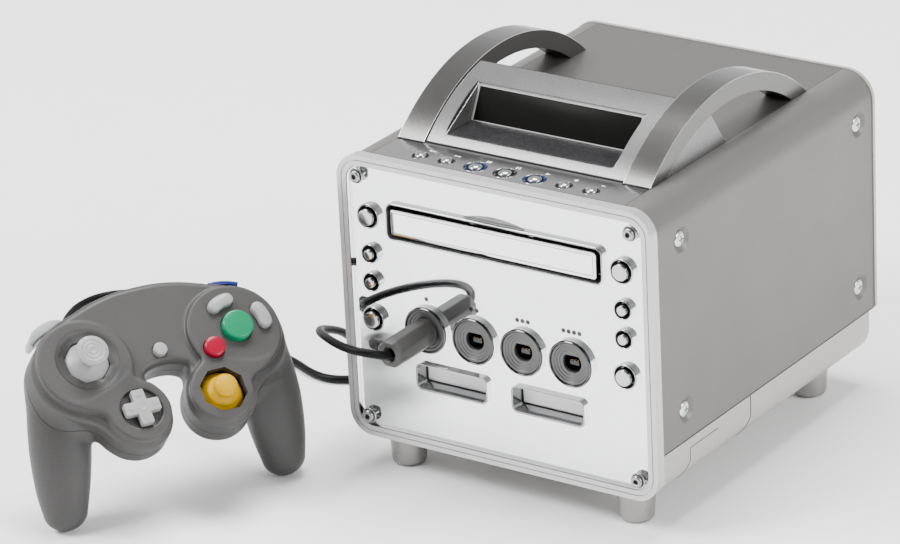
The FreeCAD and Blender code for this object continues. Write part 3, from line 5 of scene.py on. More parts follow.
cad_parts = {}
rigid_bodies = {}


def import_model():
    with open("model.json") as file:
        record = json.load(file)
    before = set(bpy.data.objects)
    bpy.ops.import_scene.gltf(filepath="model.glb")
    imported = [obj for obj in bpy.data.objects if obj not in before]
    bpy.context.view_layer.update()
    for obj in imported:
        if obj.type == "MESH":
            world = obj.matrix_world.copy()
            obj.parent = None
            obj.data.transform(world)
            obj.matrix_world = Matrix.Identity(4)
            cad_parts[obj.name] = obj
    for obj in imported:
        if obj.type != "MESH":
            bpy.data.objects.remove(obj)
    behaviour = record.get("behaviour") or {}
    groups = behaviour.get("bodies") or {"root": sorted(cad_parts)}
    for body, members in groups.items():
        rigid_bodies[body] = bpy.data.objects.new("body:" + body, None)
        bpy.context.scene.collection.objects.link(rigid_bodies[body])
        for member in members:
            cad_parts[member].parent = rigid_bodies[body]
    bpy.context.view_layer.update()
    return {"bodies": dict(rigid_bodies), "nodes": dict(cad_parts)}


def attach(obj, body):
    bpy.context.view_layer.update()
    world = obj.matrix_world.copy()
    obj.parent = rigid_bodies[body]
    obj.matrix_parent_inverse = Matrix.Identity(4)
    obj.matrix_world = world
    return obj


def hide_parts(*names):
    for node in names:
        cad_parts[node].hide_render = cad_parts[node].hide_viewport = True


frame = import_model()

OX, OY = -57.965, 48.533            # middle of the set in the console's own frame, mm
random.seed(4)


def W(x, y, z):
    """console frame in mm to the row frame in metres"""
    return Vector(((x - OX) / 1000, (y - OY) / 1000, z / 1000))


psi, lean = math.radians(61.28), math.radians(47.35)
EX = Vector((math.cos(psi), math.sin(psi), 0))
EZ = Vector((math.cos(lean) * math.sin(psi), -math.cos(lean) * math.cos(psi), math.sin(lean)))
EY = EZ.cross(EX)
PAD_Z = 9.6 + 53.0 * EY.z + 48.7 * EZ.z
PAD0 = Vector((-146.72, -75.35, PAD_Z))
PADM = Matrix(((EX.x / 1000, EY.x / 1000, EZ.x / 1000, (PAD0.x - OX) / 1000), (EX.y / 1000, EY.y / 1000, EZ.y / 1000, (PAD0.y - OY) / 1000),
               (EX.z / 1000, EY.z / 1000, EZ.z / 1000, PAD0.z / 1000), (0, 0, 0, 1)))


def PL(x, y, z):
    """gamepad's own frame in mm to the row frame in metres"""
    return PADM @ Vector((x, y, z))


# ---------------------------------------------------------------- camera
cam = bpy.data.cameras.new("camera")
camo = bpy.data.objects.new("camera", cam)
bpy.context.scene.collection.objects.link(camo)
camo.location = W(1190.34915, -1716.88613, 1004.77964)
camo.rotation_euler = Euler((1.17105905, 0.0459703079, 0.597157349), "XYZ")
cam.sensor_width = 36.0
cam.lens = 4730.33317 / 900 * 36.0
cam.shift_x = (450 - 447.943012) / 900
cam.shift_y = (270.945343 - 272) / 900
cam.clip_start, cam.clip_end = 0.05, 50
cam.dof.use_dof = False
bpy.context.scene.camera = camo

# ---------------------------------------------------------------- materials
MATS = {}


def new_mat(name):
    m = bpy.data.materials.new(name)
    m.use_nodes = True
    nt = m.node_tree
    nt.nodes.clear()
    out = nt.nodes.new("ShaderNodeOutputMaterial")
    b = nt.nodes.new("ShaderNodeBsdfPrincipled")
    nt.links.new(b.outputs[0], out.inputs[0])
    MATS[name] = m
    return m, nt, b, out


def node(nt, kind, **kw):
    n = nt.nodes.new(kind)
    for k, v in kw.items():
        if k.startswith("in_"):
            n.inputs[int(k[3:])].default_value = v
        else:
            setattr(n, k, v)
    return n


def coords(nt, scale=(1, 1, 1), rot=(0, 0, 0)):
    t = node(nt, "ShaderNodeTexCoord")
    mp = node(nt, "ShaderNodeMapping")
    mp.inputs["Scale"].default_value = scale
    mp.inputs["Rotation"].default_value = rot
    nt.links.new(t.outputs["Object"], mp.inputs["Vector"])
    return mp.outputs[0]


def ramp(nt, fac, lo, hi, c0, c1):
    r = node(nt, "ShaderNodeMapRange")
    nt.links.new(fac, r.inputs[0])
    r.inputs[1].default_value, r.inputs[2].default_value = lo, hi
    r.inputs[3].default_value, r.inputs[4].default_value = c0, c1
    return r.outputs[0]


def mixc(nt, fac, a, b):
    m = node(nt, "ShaderNodeMix", data_type="RGBA")
    nt.links.new(fac, m.inputs[0])
    m.inputs[6].default_value = (*a, 1)
    m.inputs[7].default_value = (*b, 1)
    return m.outputs[2]


def bump(nt, b, height, strength, dist=0.0001):
    n = node(nt, "ShaderNodeBump")
    n.inputs["Strength"].default_value = strength
    n.inputs["Distance"].default_value = dist
    nt.links.new(height, n.inputs["Height"])
    nt.links.new(n.outputs[0], b.inputs["Normal"])


def paint(name, col, rough=0.4, metallic=0.0, grain=1500.0, spread=0.08, bumpy=0.12, rspread=0.06, spec=0.5, coat=0.0, scale=(1, 1, 1), blotch=0.0, aniso=0.0):
    """painted, moulded or sheet surface with fine grain"""
    m, nt, b, out = new_mat(name)
    v = coords(nt, scale)
    n1 = node(nt, "ShaderNodeTexNoise")
    n1.inputs["Scale"].default_value = grain
    n1.inputs["Detail"].default_value = 3
    nt.links.new(v, n1.inputs["Vector"])
    n2 = node(nt, "ShaderNodeTexNoise")
    n2.inputs["Scale"].default_value = 28
    n2.inputs["Detail"].default_value = 4
    nt.links.new(v, n2.inputs["Vector"])
    lo = tuple(max(0, c * (1 - spread)) for c in col)
    hi = tuple(min(1, c * (1 + spread)) for c in col)
    c = mixc(nt, ramp(nt, n1.outputs[0], 0.3, 0.7, 0, 1), lo, hi)
    if blotch:
        mm = node(nt, "ShaderNodeMix", data_type="RGBA", blend_type="MULTIPLY")
        mm.inputs[0].default_value = 1.0
        nt.links.new(c, mm.inputs[6])
        nt.links.new(mixc(nt, ramp(nt, n2.outputs[0], 0.3, 0.7, 0, 1), (1 - blotch,) * 3, (1, 1, 1)), mm.inputs[7])
        c = mm.outputs[2]
    nt.links.new(c, b.inputs["Base Color"])
    nt.links.new(ramp(nt, n2.outputs[0], 0.3, 0.7, rough - rspread, rough + rspread), b.inputs["Roughness"])
    b.inputs["Metallic"].default_value = metallic
    b.inputs["Specular IOR Level"].default_value = spec
    b.inputs["Coat Weight"].default_value = coat
    b.inputs["Coat Roughness"].default_value = 0.08
    if aniso:
        b.inputs["Anisotropic"].default_value = aniso
    bump(nt, b, n1.outputs[0], bumpy)
    return m


def brushed(name, col, rough=0.3, scale=(40, 1, 1), grain=60, spread=0.1, metallic=1.0, bumpy=0.15):
    m, nt, b, out = new_mat(name)
    v = coords(nt, scale)
    n1 = node(nt, "ShaderNodeTexNoise")
    n1.inputs["Scale"].default_value = grain
    n1.inputs["Detail"].default_value = 5
    nt.links.new(v, n1.inputs["Vector"])
    lo = tuple(c * (1 - spread) for c in col)
    hi = tuple(min(1, c * (1 + spread)) for c in col)
    nt.links.new(mixc(nt, ramp(nt, n1.outputs[0], 0.3, 0.7, 0, 1), lo, hi), b.inputs["Base Color"])
    nt.links.new(ramp(nt, n1.outputs[0], 0.3, 0.7, rough - 0.06, rough + 0.08), b.inputs["Roughness"])
    b.inputs["Metallic"].default_value = metallic
    bump(nt, b, n1.outputs[0], bumpy)
    return m


paint("silver_sheet", (0.104, 0.0995, 0.095), rough=0.40, metallic=0.55, grain=2600, spread=0.12, bumpy=0.08, blotch=0.02)
paint("silver_side", (0.136, 0.1315, 0.126), rough=0.42, metallic=0.45, grain=2600, spread=0.08, bumpy=0.06, blotch=0.02)
paint("silver_gloss", (0.34, 0.34, 0.34), rough=0.16, metallic=1.0, grain=2600, spread=0.06, bumpy=0.03, blotch=0.02, rspread=0.03)
paint("silver_base", (0.405, 0.393, 0.378), rough=0.40, metallic=0.45, grain=2200, spread=0.06, bumpy=0.06)
paint("foot_silver", (0.31, 0.302, 0.292), rough=0.32, metallic=0.75, grain=2200, spread=0.08, bumpy=0.05)
paint("hood_speckle", (0.212, 0.212, 0.210), rough=0.30, metallic=0.80, grain=2300, spread=0.30, bumpy=0.10, rspread=0.04)
paint("rail_metal", (0.140, 0.1375, 0.134), rough=0.24, metallic=0.9, grain=1500, spread=0.06, bumpy=0.03, rspread=0.03)
paint("bezel_satin", (0.52, 0.52, 0.517), rough=0.17, metallic=0.55, grain=1800, spread=0.04, bumpy=0.02, rspread=0.03)
paint("chrome", (0.62, 0.625, 0.63), rough=0.06, metallic=1.0, grain=900, spread=0.02, bumpy=0.01, rspread=0.02)
paint("rim_chrome", (0.50, 0.505, 0.51), rough=0.09, metallic=1.0, grain=1800, spread=0.03, bumpy=0.02, rspread=0.03)
# brighter metal for the rails' edge beads: painted highlight
paint("edge_highlight_chrome", (0.72, 0.72, 0.72), rough=0.22, metallic=1.0, grain=1800, spread=0.02, bumpy=0.02, rspread=0.03)
paint("slot_chrome", (0.40, 0.402, 0.405), rough=0.12, metallic=0.9, grain=1800, spread=0.04, bumpy=0.02, rspread=0.03)
paint("knob_chrome", (0.34, 0.342, 0.345), rough=0.24, metallic=0.9, grain=1400, spread=0.04, bumpy=0.02, rspread=0.03)
paint("ring_chrome", (0.20, 0.202, 0.206), rough=0.20, metallic=0.9, grain=1400, spread=0.05, bumpy=0.02, rspread=0.03)
paint("cap_chrome", (0.50, 0.502, 0.505), rough=0.13, metallic=1.0, grain=1400, spread=0.03, bumpy=0.02, rspread=0.03)
paint("mirror", (0.93, 0.935, 0.94), rough=0.03, metallic=1.0, grain=700, spread=0.01, bumpy=0.0, rspread=0.012)
paint("door_mirror", (0.95, 0.952, 0.95), rough=0.05, metallic=1.0, grain=700, spread=0.01, bumpy=0.0, rspread=0.012)
paint("socket_grey", (0.088, 0.087, 0.086), rough=0.33, metallic=0.25, grain=1800, spread=0.06, bumpy=0.04)
paint("socket_rim", (0.10, 0.10, 0.103), rough=0.13, metallic=1.0, grain=1800, spread=0.05, bumpy=0.02, rspread=0.03)
paint("socket_tongue", (0.018, 0.018, 0.019), rough=0.35, grain=1800, spread=0.1, bumpy=0.05)
brushed("contact_gold", (0.72, 0.50, 0.20), rough=0.25, scale=(1, 1, 30), grain=80, spread=0.08, bumpy=0.05)
paint("mark_grey", (0.075, 0.075, 0.077), rough=0.45, grain=1800, spread=0.06, bumpy=0.04)
paint("mark_white", (0.72, 0.72, 0.72), rough=0.45, grain=1800, spread=0.03, bumpy=0.04)
paint("flap_grey", (0.80, 0.80, 0.81), rough=0.42, grain=2000, spread=0.04, bumpy=0.04)
paint("dark", (0.006, 0.006, 0.0065), rough=0.42, grain=1800, spread=0.2, bumpy=0.06, spec=0.3)
# black for the tray mouth's throat: painted shade
paint("throat_shade_black", (0.010, 0.010, 0.0105), rough=0.22, metallic=0.3, grain=1500, spread=0.12, bumpy=0.02, spec=0.4)
paint("throat_grey", (0.13, 0.13, 0.132), rough=0.16, metallic=1.0, grain=1500, spread=0.06, bumpy=0.02)
paint("smoked", (0.019, 0.019, 0.020), rough=0.36, grain=900, spread=0.9, bumpy=0.15, spec=0.16, blotch=0.3)
paint("display_dark", (0.0075, 0.0075, 0.0068), rough=0.22, grain=900, spread=0.10, bumpy=0.0, spec=0.02, rspread=0.02)
paint("window_dark", (0.012, 0.006, 0.006), rough=0.08, grain=900, spread=0.10, bumpy=0.0, rspread=0.01)
paint("ring_blue", (0.0010, 0.0125, 0.050), rough=0.30, grain=900, spread=0.10, bumpy=0.01, spec=0.08, rspread=0.02)
paint("ring_black", (0.004, 0.005, 0.007), rough=0.24, grain=900, spread=0.10, bumpy=0.01, spec=0.15, rspread=0.02)
paint("board", (0.006, 0.03, 0.012), rough=0.35, grain=400, spread=0.2, bumpy=0.1)
paint("steel", (0.3, 0.3, 0.3), rough=0.35, metallic=0.9, grain=800, spread=0.08)
paint("white_moulded", (0.35, 0.35, 0.34), rough=0.5)
paint("pad_shell", (0.0445, 0.0430, 0.0420), rough=0.44, grain=2400, spread=0.16, bumpy=0.20, rspread=0.04, blotch=0.03, spec=0.32)
paint("pad_seam", (0.012, 0.0115, 0.011), rough=0.55, grain=2400, spread=0.10, bumpy=0.1, spec=0.2)
paint("pad_key", (0.275, 0.275, 0.272), rough=0.40, grain=1500, spread=0.04, bumpy=0.04)
paint("pad_green", (0.0006, 0.195, 0.085), rough=0.17, grain=900, spread=0.03, bumpy=0.01, spec=0.26, rspread=0.02)
paint("pad_red", (0.262, 0.0006, 0.019), rough=0.18, grain=900, spread=0.03, bumpy=0.01, spec=0.35, rspread=0.02)
paint("pad_blue", (0.004, 0.012, 0.150), rough=0.26, grain=900, spread=0.05, bumpy=0.02)
paint("pad_yellow", (0.50, 0.285, 0.0002), rough=0.36, grain=1200, spread=0.04, bumpy=0.03, spec=0.16)
paint("pad_trigger", (0.29, 0.295, 0.30), rough=0.28, grain=900, spread=0.03, bumpy=0.02)
paint("cord_rubber", (0.0026, 0.0026, 0.0028), rough=0.46, grain=2600, spread=0.25, bumpy=0.10, spec=0.11)
paint("plug_rubber", (0.046, 0.0448, 0.0435), rough=0.42, grain=2400, spread=0.12, bumpy=0.14, spec=0.35)
paint("floor_white", (0.95, 0.95, 0.95), rough=0.6, grain=60, spread=0.004, bumpy=0.02)

m, nt, b, out = new_mat("acrylic")
b.inputs["Base Color"].default_value = (0.985, 0.99, 0.992, 1)
b.inputs["Transmission Weight"].default_value = 1.0
b.inputs["IOR"].default_value = 1.49
n1 = node(nt, "ShaderNodeTexNoise")
n1.inputs["Scale"].default_value = 40
nt.links.new(coords(nt), n1.inputs["Vector"])
nt.links.new(ramp(nt, n1.outputs[0], 0.3, 0.7, 0.0, 0.012), b.inputs["Roughness"])

NODE_MAT = {
    "front_bezel": "bezel_satin", "clear_front_plate": "acrylic", "mirror_fascia": "mirror", "gamepad_sockets": "socket_grey", "card_slot_frames": "slot_chrome",
    "card_flap_a": "flap_grey", "card_flap_b": "flap_grey", "tray_door": "door_mirror", "disc_tray": "dark", "tray_pinion": "white_moulded", "drive_chassis": "steel", "disc_spindle": "dark",
    "control_ledge": "silver_gloss", "display_hood": "hood_speckle", "display_panel": "display_dark", "arched_rails": "rail_metal", "top_panel": "silver_sheet", "left_side_cover": "silver_side",
    "right_side_cover": "silver_side", "base_tub": "silver_base", "feet": "foot_silver", "cover_screws": "chrome", "rear_panel": "silver_base", "rear_handle": "rail_metal", "rear_sockets": "dark",
    "fan_rotor": "dark", "main_board": "board", "gamepad_upper_shell": "pad_shell", "gamepad_lower_shell": "pad_shell", "main_stick": "pad_key", "main_stick_gimbal": "white_moulded",
    "small_stick": "pad_yellow", "small_stick_gimbal": "white_moulded", "direction_pad": "pad_key", "a_button": "pad_green", "b_button": "pad_red", "x_button": "pad_key", "y_button": "pad_key",
    "start_button": "pad_key", "shoulder_button": "pad_blue", "left_trigger": "pad_trigger", "right_trigger": "pad_trigger", "gamepad_plug": "plug_rubber", "gamepad_cord": "cord_rubber", "cord_coil": "cord_rubber"}
FRONT_KEYS = ["power_button", "left_button_2", "left_button_3", "reset_button", "open_button", "right_button_2", "right_button_3", "right_button_4"]
TOP_KEYS = ["top_button_%d" % i for i in range(1, 8)]
for k in FRONT_KEYS:
    NODE_MAT[k] = "chrome"
for k in TOP_KEYS:
    NODE_MAT[k] = "rim_chrome"
N = frame["nodes"]
for k, o in N.items():
    m = MATS[NODE_MAT[k]]
    o.data.materials.clear()
    o.data.materials.append(m)


def bevel(o, w, seg=2, angle=30):
    b = o.modifiers.new("edge", "BEVEL")
    b.width = w / 1000
    b.segments = seg
    b.limit_method = "ANGLE"
    b.angle_limit = math.radians(angle)
    b.harden_normals = False
    return b


for k, w in (("front_bezel", 0.9), ("arched_rails", 0.5), ("top_panel", 0.3), ("control_ledge", 0.3), ("display_hood", 0.4), ("card_slot_frames", 0.25), ("rear_panel", 0.3)):
    bevel(N[k], w)

# ---------------------------------------------------------------- free cord (first, with its spare length in the coil)
px_, pz_ = -42.0, 81.3
ROUTE_A = [(px_, -23.5, pz_), (px_, -33.5, pz_ + 0.3), (-43.6, -38.5, 84.0), (-47.9, -42.2, 85.5), (-54.9, -43.5, 86.0), (-65.0, -40.5, 85.5), (-77.4, -33.0, 83.8), (-90.0, -22.0, 80.2), (-98.5, -9.0, 74.7), (-101.8, 4.0, 68.8),
           (-104.0, 17.0, 62.0), (-107.0, 30.0, 51.0), (-110.0, 42.5, 38.0), (-112.5, 54.5, 27.3), (-119.5, 73.0, 15.3), (-131.5, 92.5, 13.7)]
ROUTE_B = [(-124.7, 98.4, 2.3), (-137.0, 86.6, 2.3), (-147.5, 77.6, 2.3), (-158.5, 73.0, 2.3), (-171.0, 75.4, 2.3), (-185.5, 82.4, 2.3), (-204.0, 88.0, 2.3), (-232.0, 97.0, 2.3), (-262.0, 107.5, 2.3),
           (-287.0, 117.5, 2.3), (-310.5, 119.5, 2.3), (-328.5, 109.0, 2.3), (-335.0, 91.5, 2.3), (-329.0, 69.5, 2.3), (-314.0, 46.5, 2.3), (-293.0, 26.0, 2.3), (-270.0, 8.0, 2.4), (-247.0, -8.5, 5.5), (-228.5, -23.0, 14.0), (-213.5, -35.0, 28.5), (-202.0, -44.2, 45.5)]
gland = PAD0 + 24 * EY - 38 * EZ
ROUTE_B += [tuple(gland - EZ * 12), tuple(gland)]
turns = []
a_in, a_out, rounds = 219.6, 305.0, 9
total = a_in - a_out + 360 * rounds
steps = 16 * rounds
for i in range(steps + 1):
    f = i / steps
    a = math.radians(a_in - total * f)
    layer = f * 4
    k = min(int(layer), 3)
    u = layer - k
    r = (27.8 - 9.6 * u) if k % 2 == 0 else (18.2 + 9.6 * u)
    # each layer is flat but for the last part of it, where the cord steps down
    drop = max(0.0, (u - 0.9) / 0.1) if k < 3 else 0.0
    z = 15.2 - 4.3 * (k + drop)
    turns.append((-124.0 + r / 0.985 * math.cos(a), 127.0 + r / 0.985 * math.sin(a), z))
pts = ROUTE_A + turns + ROUTE_B
cu = bpy.data.curves.new("free_cord", "CURVE")
cu.dimensions = "3D"
sp = cu.splines.new("NURBS")
sp.points.add(len(pts) - 1)
for q, p in zip(sp.points, pts):
    q.co = (*W(*p), 1)
sp.order_u = 3
sp.use_endpoint_u = True
sp.resolution_u = 5
cu.bevel_depth = 0.0021
cu.bevel_resolution = 5
cu.use_fill_caps = True
cord = bpy.data.objects.new("free_cord", cu)
bpy.context.scene.collection.objects.link(cord)
cu.materials.append(MATS["cord_rubber"])
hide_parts("gamepad_cord", "cord_coil")
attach(cord, "gamepad")

# ---------------------------------------------------------------- signed distances for the gamepad's moulded shells (mm, gamepad frame)
def smin(a, b, k):
    h = np.clip(0.5 + 0.5 * (b - a) / k, 0, 1)
    return b + (a - b) * h - k * h * (1 - h)


def smax(a, b, k):
    return -smin(-a, -b, k)


def catmull(pts, n, closed=True):
    P = np.array(pts, float)
    out = []
    m = len(P)
    for i in range(m):
        p0, p1, p2, p3 = P[(i - 1) % m], P[i], P[(i + 1) % m], P[(i + 2) % m]
        for t in np.arange(n) / n:
            out.append(0.5 * ((2 * p1) + (-p0 + p2) * t + (2 * p0 - 5 * p1 + 4 * p2 - p3) * t * t + (-p0 + 3 * p1 - 3 * p2 + p3) * t ** 3))
    return np.array(out)


def poly_sd(X, Y, P):
    """signed distance to a closed polygon on a 2-D grid, negative inside"""
    d = np.full(X.shape, 1e9, np.float32)
    inside = np.zeros(X.shape, bool)
    n = len(P)
    for i in range(n):
        ax, ay = P[i]
        bx, by = P[(i + 1) % n]
        ex, ey = bx - ax, by - ay
        wx, wy = X - ax, Y - ay
        t = np.clip((wx * ex + wy * ey) / (ex * ex + ey * ey + 1e-12), 0, 1)
        d = np.minimum(d, (wx - ex * t) ** 2 + (wy - ey * t) ** 2)
        c = ((ay <= Y) & (by > Y)) | ((by <= Y) & (ay > Y))
        if ey != 0:
            inside ^= c & (X < ex * (Y - ay) / ey + ax)
    return np.sqrt(d) * np.where(inside, -1, 1)


def slab_sd(d2, Z, z0, z1, r, r2=None):
    """plate of 2-D distance d2 between z0 and z1 with edges rounded by r (top) and r2 (below)"""
    zc, hz = (z0 + z1) / 2, (z1 - z0) / 2
    rr = np.where(Z > zc, r, r if r2 is None else r2)
    a = d2 + rr
    b = np.abs(Z - zc) - hz + rr
    return np.minimum(np.maximum(a, b), 0) + np.sqrt(np.maximum(a, 0) ** 2 + np.maximum(b, 0) ** 2) - rr


def surface_nets(F, org, step):
    """mesh of the zero level of a 3-D field as (verts, quads)"""
    S = F < 0
    nx, ny, nz = F.shape
    acc = np.zeros((nx - 1, ny - 1, nz - 1, 3), np.float32)
    cnt = np.zeros((nx - 1, ny - 1, nz - 1), np.float32)
    for ax in range(3):
        sl0 = [slice(None)] * 3; sl1 = [slice(None)] * 3
        sl0[ax] = slice(0, -1); sl1[ax] = slice(1, None)
        f0, f1 = F[tuple(sl0)], F[tuple(sl1)]
        cross = S[tuple(sl0)] != S[tuple(sl1)]
        ix = np.argwhere(cross)
        t = f0[cross] / (f0[cross] - f1[cross])
        p = ix.astype(np.float32)
        p[:, ax] += t
        o = [a for a in range(3) if a != ax]
        for da in (0, -1):
            for db in (0, -1):
                c = ix.copy()
                c[:, o[0]] += da; c[:, o[1]] += db
                ok = np.all((c >= 0) & (c < np.array(cnt.shape)), axis=1)
                cc = c[ok]
                np.add.at(acc, (cc[:, 0], cc[:, 1], cc[:, 2]), p[ok])
                np.add.at(cnt, (cc[:, 0], cc[:, 1], cc[:, 2]), 1)
    used = cnt > 0
    idx = np.full(cnt.shape, -1, np.int64)
    idx[used] = np.arange(used.sum())
    V = acc[used] / cnt[used][:, None]
    quads = []
    for ax in range(3):
        o = [a for a in range(3) if a != ax]
        sl0 = [slice(1, -1)] * 3; sl1 = [slice(1, -1)] * 3
        sl0[ax] = slice(0, -1); sl1[ax] = slice(1, None)
        s0, s1 = S[tuple(sl0)], S[tuple(sl1)]
        for flip, mask in ((False, s0 & ~s1), (True, ~s0 & s1)):
            ix = np.argwhere(mask)
            if not len(ix):
                continue
            for a in o:
                ix[:, a] += 1
            q = []
            for da, db in ((-1, -1), (0, -1), (0, 0), (-1, 0)):
                c = ix.copy()
                c[:, o[0]] += da; c[:, o[1]] += db
                q.append(idx[c[:, 0], c[:, 1], c[:, 2]])
            q = np.stack(q, 1)
            if (ax == 1) != flip:
                q = q[:, ::-1]
            quads.append(q)
    Q = np.concatenate(quads)
    # settle the points on the level set
    G = np.stack(np.gradient(F), -1)
    for _ in range(2):
        i0 = np.clip(np.floor(V).astype(int), 0, np.array(F.shape) - 2)
        fr = V - i0
        val = 0; gr = 0
        for dx in (0, 1):
            for dy in (0, 1):
                for dz in (0, 1):
                    w = (fr[:, 0] if dx else 1 - fr[:, 0]) * (fr[:, 1] if dy else 1 - fr[:, 1]) * (fr[:, 2] if dz else 1 - fr[:, 2])
                    j = (i0[:, 0] + dx, i0[:, 1] + dy, i0[:, 2] + dz)
                    val = val + w * F[j]
                    gr = gr + w[:, None] * G[j]
        g2 = np.maximum((gr ** 2).sum(1), 1e-6)
        V = V - np.clip(val / g2, -0.5, 0.5)[:, None] * gr
    return np.array(org) + V * step, Q


HALF = [(0, 36.0), (12, 35.5), (24, 33.2), (35, 29.6), (45, 26.2), (53, 21.6), (59.5, 15.4), (64.0, 7.5), (65.8, -1.5), (64.4, -11.0), (59.8, -19.0),
        (52.6, -25.0), (45.6, -29.0), (41.2, -33.2), (38.0, -38.6), (32.4, -44.6), (24.6, -47.8), (16.6, -47.2), (9.8, -43.4), (5.6, -37.0), (4.6, -29.4), (6.8, -21.8), (10.6, -15.6),
        (11.0, -11.0), (6.5, -8.4), (0, -7.6)]
RING = HALF + [(-x, y) for x, y in reversed(HALF[1:-1])]
GRIPS = [(51.5, 2.0, -15.0, 12.5), (53.5, -8.0, -18.5, 13.2), (55.0, -18.0, -24.0, 13.6), (56.4, -28.0, -30.5, 13.4), (57.4, -37.0, -37.0, 12.6), (58.2, -45.0, -43.0, 11.4), (58.7, -53.0, -48.7, 9.6)]


def pad_field(step):
    xs = np.arange(-78, 78 + step, step, dtype=np.float32)
    ys = np.arange(-70, 41 + step, step, dtype=np.float32)
    zs = np.arange(-61, 3 + step, step, dtype=np.float32)
    X2, Y2 = np.meshgrid(xs, ys, indexing="ij")
    outline = catmull(RING, 6)
    d_out = poly_sd(X2, Y2, outline).astype(np.float32)
    X, Y = X2[:, :, None], Y2[:, :, None]
    Z = zs[None, None, :]
    AX_ = np.abs(X)
    # body: a flat-topped slab; the fall of its top behind the raised rounds is worked out but not used
    top = -3.4 - 0.0022 * np.maximum(0, np.abs(X) - 10) ** 1.3
    f = slab_sd(d_out[:, :, None], Z, -24.0, -3.4, 3.2, 5.5)
    # raised rounds and the two lower pods
    r1 = np.sqrt((AX_ - 39.7) ** 2 + Y ** 2)
    cyl1 = slab_sd(r1 - 24.0, Z, -16.0, 0.0, 1.2)
    r2 = np.sqrt((AX_ - 21.8) ** 2 + (Y + 30.0) ** 2)
    cyl2 = slab_sd(r2 - 16.0, Z, -22.0, 0.0, 1.2, 4.0)
    # neck that joins a round to its pod, flush with both
    neck = [(20.5, -10.0), (28.0, -15.0), (44.0, -19.5), (52.0, -18.5), (47.5, -22.5), (41.5, -25.5), (37.2, -29.5), (35.6, -35.5), (24, -30.0), (8.5, -24.5), (11.6, -18.0), (16.8, -13.0)]
    dn = poly_sd(np.abs(X2), Y2, np.array(neck)).astype(np.float32)
    nk = slab_sd(dn[:, :, None], Z, -14.0, 0.0, 1.2)
    up = smin(cyl1, smin(cyl2, nk, 2.5), 2.5)
    # keep the flat faces flat where the blend swells them
    up = smax(up, Z - 0.0 * X + 0.0, 0.6)
    f = smin(f, up, 1.6)
    # grips: balls swept along a smooth spine, worked out on one side and mirrored
    G_ = [tuple(p) for p in np.array(GRIPS)]
    fine = []
    for i in range(len(G_) - 1):
        p0, p1, p2, p3 = (np.array(G_[k]) for k in (max(i - 1, 0), i, i + 1, min(i + 2, len(G_) - 1)))
        for t in np.arange(4) / 4:
            fine.append(0.5 * ((2 * p1) + (-p0 + p2) * t + (2 * p0 - 5 * p1 + 4 * p2 - p3) * t * t + (-p0 + 3 * p1 - 3 * p2 + p3) * t ** 3))
    fine.append(np.array(G_[-1]))
    g = np.full(f.shape, 30.0, np.float32)
    ix = np.nonzero(xs > 28)[0]
    iy = np.nonzero(ys < 24)[0]
    Xs, Ys = X[ix][:, iy], Y[ix][:, iy]
    gs = np.full((len(ix), len(iy), len(zs)), 30.0, np.float32)
    for a, b in zip(fine[:-1], fine[1:]):
        e = b[:3] - a[:3]
        wx, wy, wz = Xs - np.float32(a[0]), Ys - np.float32(a[1]), Z - np.float32(a[2])
        t = np.clip((wx * np.float32(e[0]) + wy * np.float32(e[1]) + wz * np.float32(e[2])) / np.float32(e @ e), 0, 1)
        d = np.sqrt(((wx - t * np.float32(e[0])) * np.float32(0.86)) ** 2 + (wy - t * np.float32(e[1])) ** 2 + (wz - t * np.float32(e[2])) ** 2) - (np.float32(a[3]) + t * np.float32(b[3] - a[3]))
        gs = np.minimum(gs, d)
    g[ix[0]:ix[-1] + 1, iy[0]:iy[-1] + 1] = gs
    g[:len(xs) - ix[0], iy[0]:iy[-1] + 1] = gs[::-1]
    g = smax(g, Z + 4.2, 3.0)
    f = smin(f, g, 5.0)
    # dished seat of the main stick, stick wells, direction-pad recess
    rs = np.sqrt((X + 37.8) ** 2 + (Y - 2.0) ** 2)
    f = smax(f, -np.maximum(rs - 15.7, -(Z + 3.2)), 0.5)
    f = smax(f, -(np.sqrt(rs ** 2 + (Z + 13.0) ** 2) - 15.0), 0.5)
    rc = np.sqrt((X - 22.6) ** 2 + (Y + 29.6) ** 2)
    f = smax(f, -(np.sqrt(rc ** 2 + (Z + 13.0) ** 2) - 14.0), 0.5)
    rd = np.sqrt((X + 21.0) ** 2 + (Y + 29.2) ** 2)
    f = smax(f, -np.maximum(rd - 10.5, -(Z + 2.1)), 0.7)
    # bays of the triggers (below the seam) and of the shoulder key
    ang = np.degrees(np.arctan2(Y, AX_ - 39.7))
    rb_ = np.sqrt((AX_ - 39.7) ** 2 + Y ** 2)
    bay = np.maximum(np.maximum(20.0 - rb_, np.maximum(47.0 - ang, ang - 100.0) * 0.45), np.maximum(Z + 13.0, -26.5 - Z))
    f = np.maximum(f, -bay)
    angr = np.degrees(np.arctan2(Y, X - 39.7))
    rr_ = np.sqrt((X - 39.7) ** 2 + Y ** 2)
    bay2 = np.maximum(np.maximum(25.8 - rr_, np.maximum(57.0 - angr, angr - 99.0) * 0.5), np.maximum(Z + 4.9, -14.0 - Z))
    f = np.maximum(f, -bay2)
    return f.astype(np.float32), (xs[0], ys[0], zs[0])
# ---------------------------------------------------------------- making pieces
# the gamepad stays out of the polished front's mirror image, as in the picture
PAD_BODIES = ("gamepad", "main_stick", "small_stick", "direction_pad", "a_button", "b_button", "x_button", "y_button", "start_button", "shoulder_button", "left_trigger", "right_trigger")


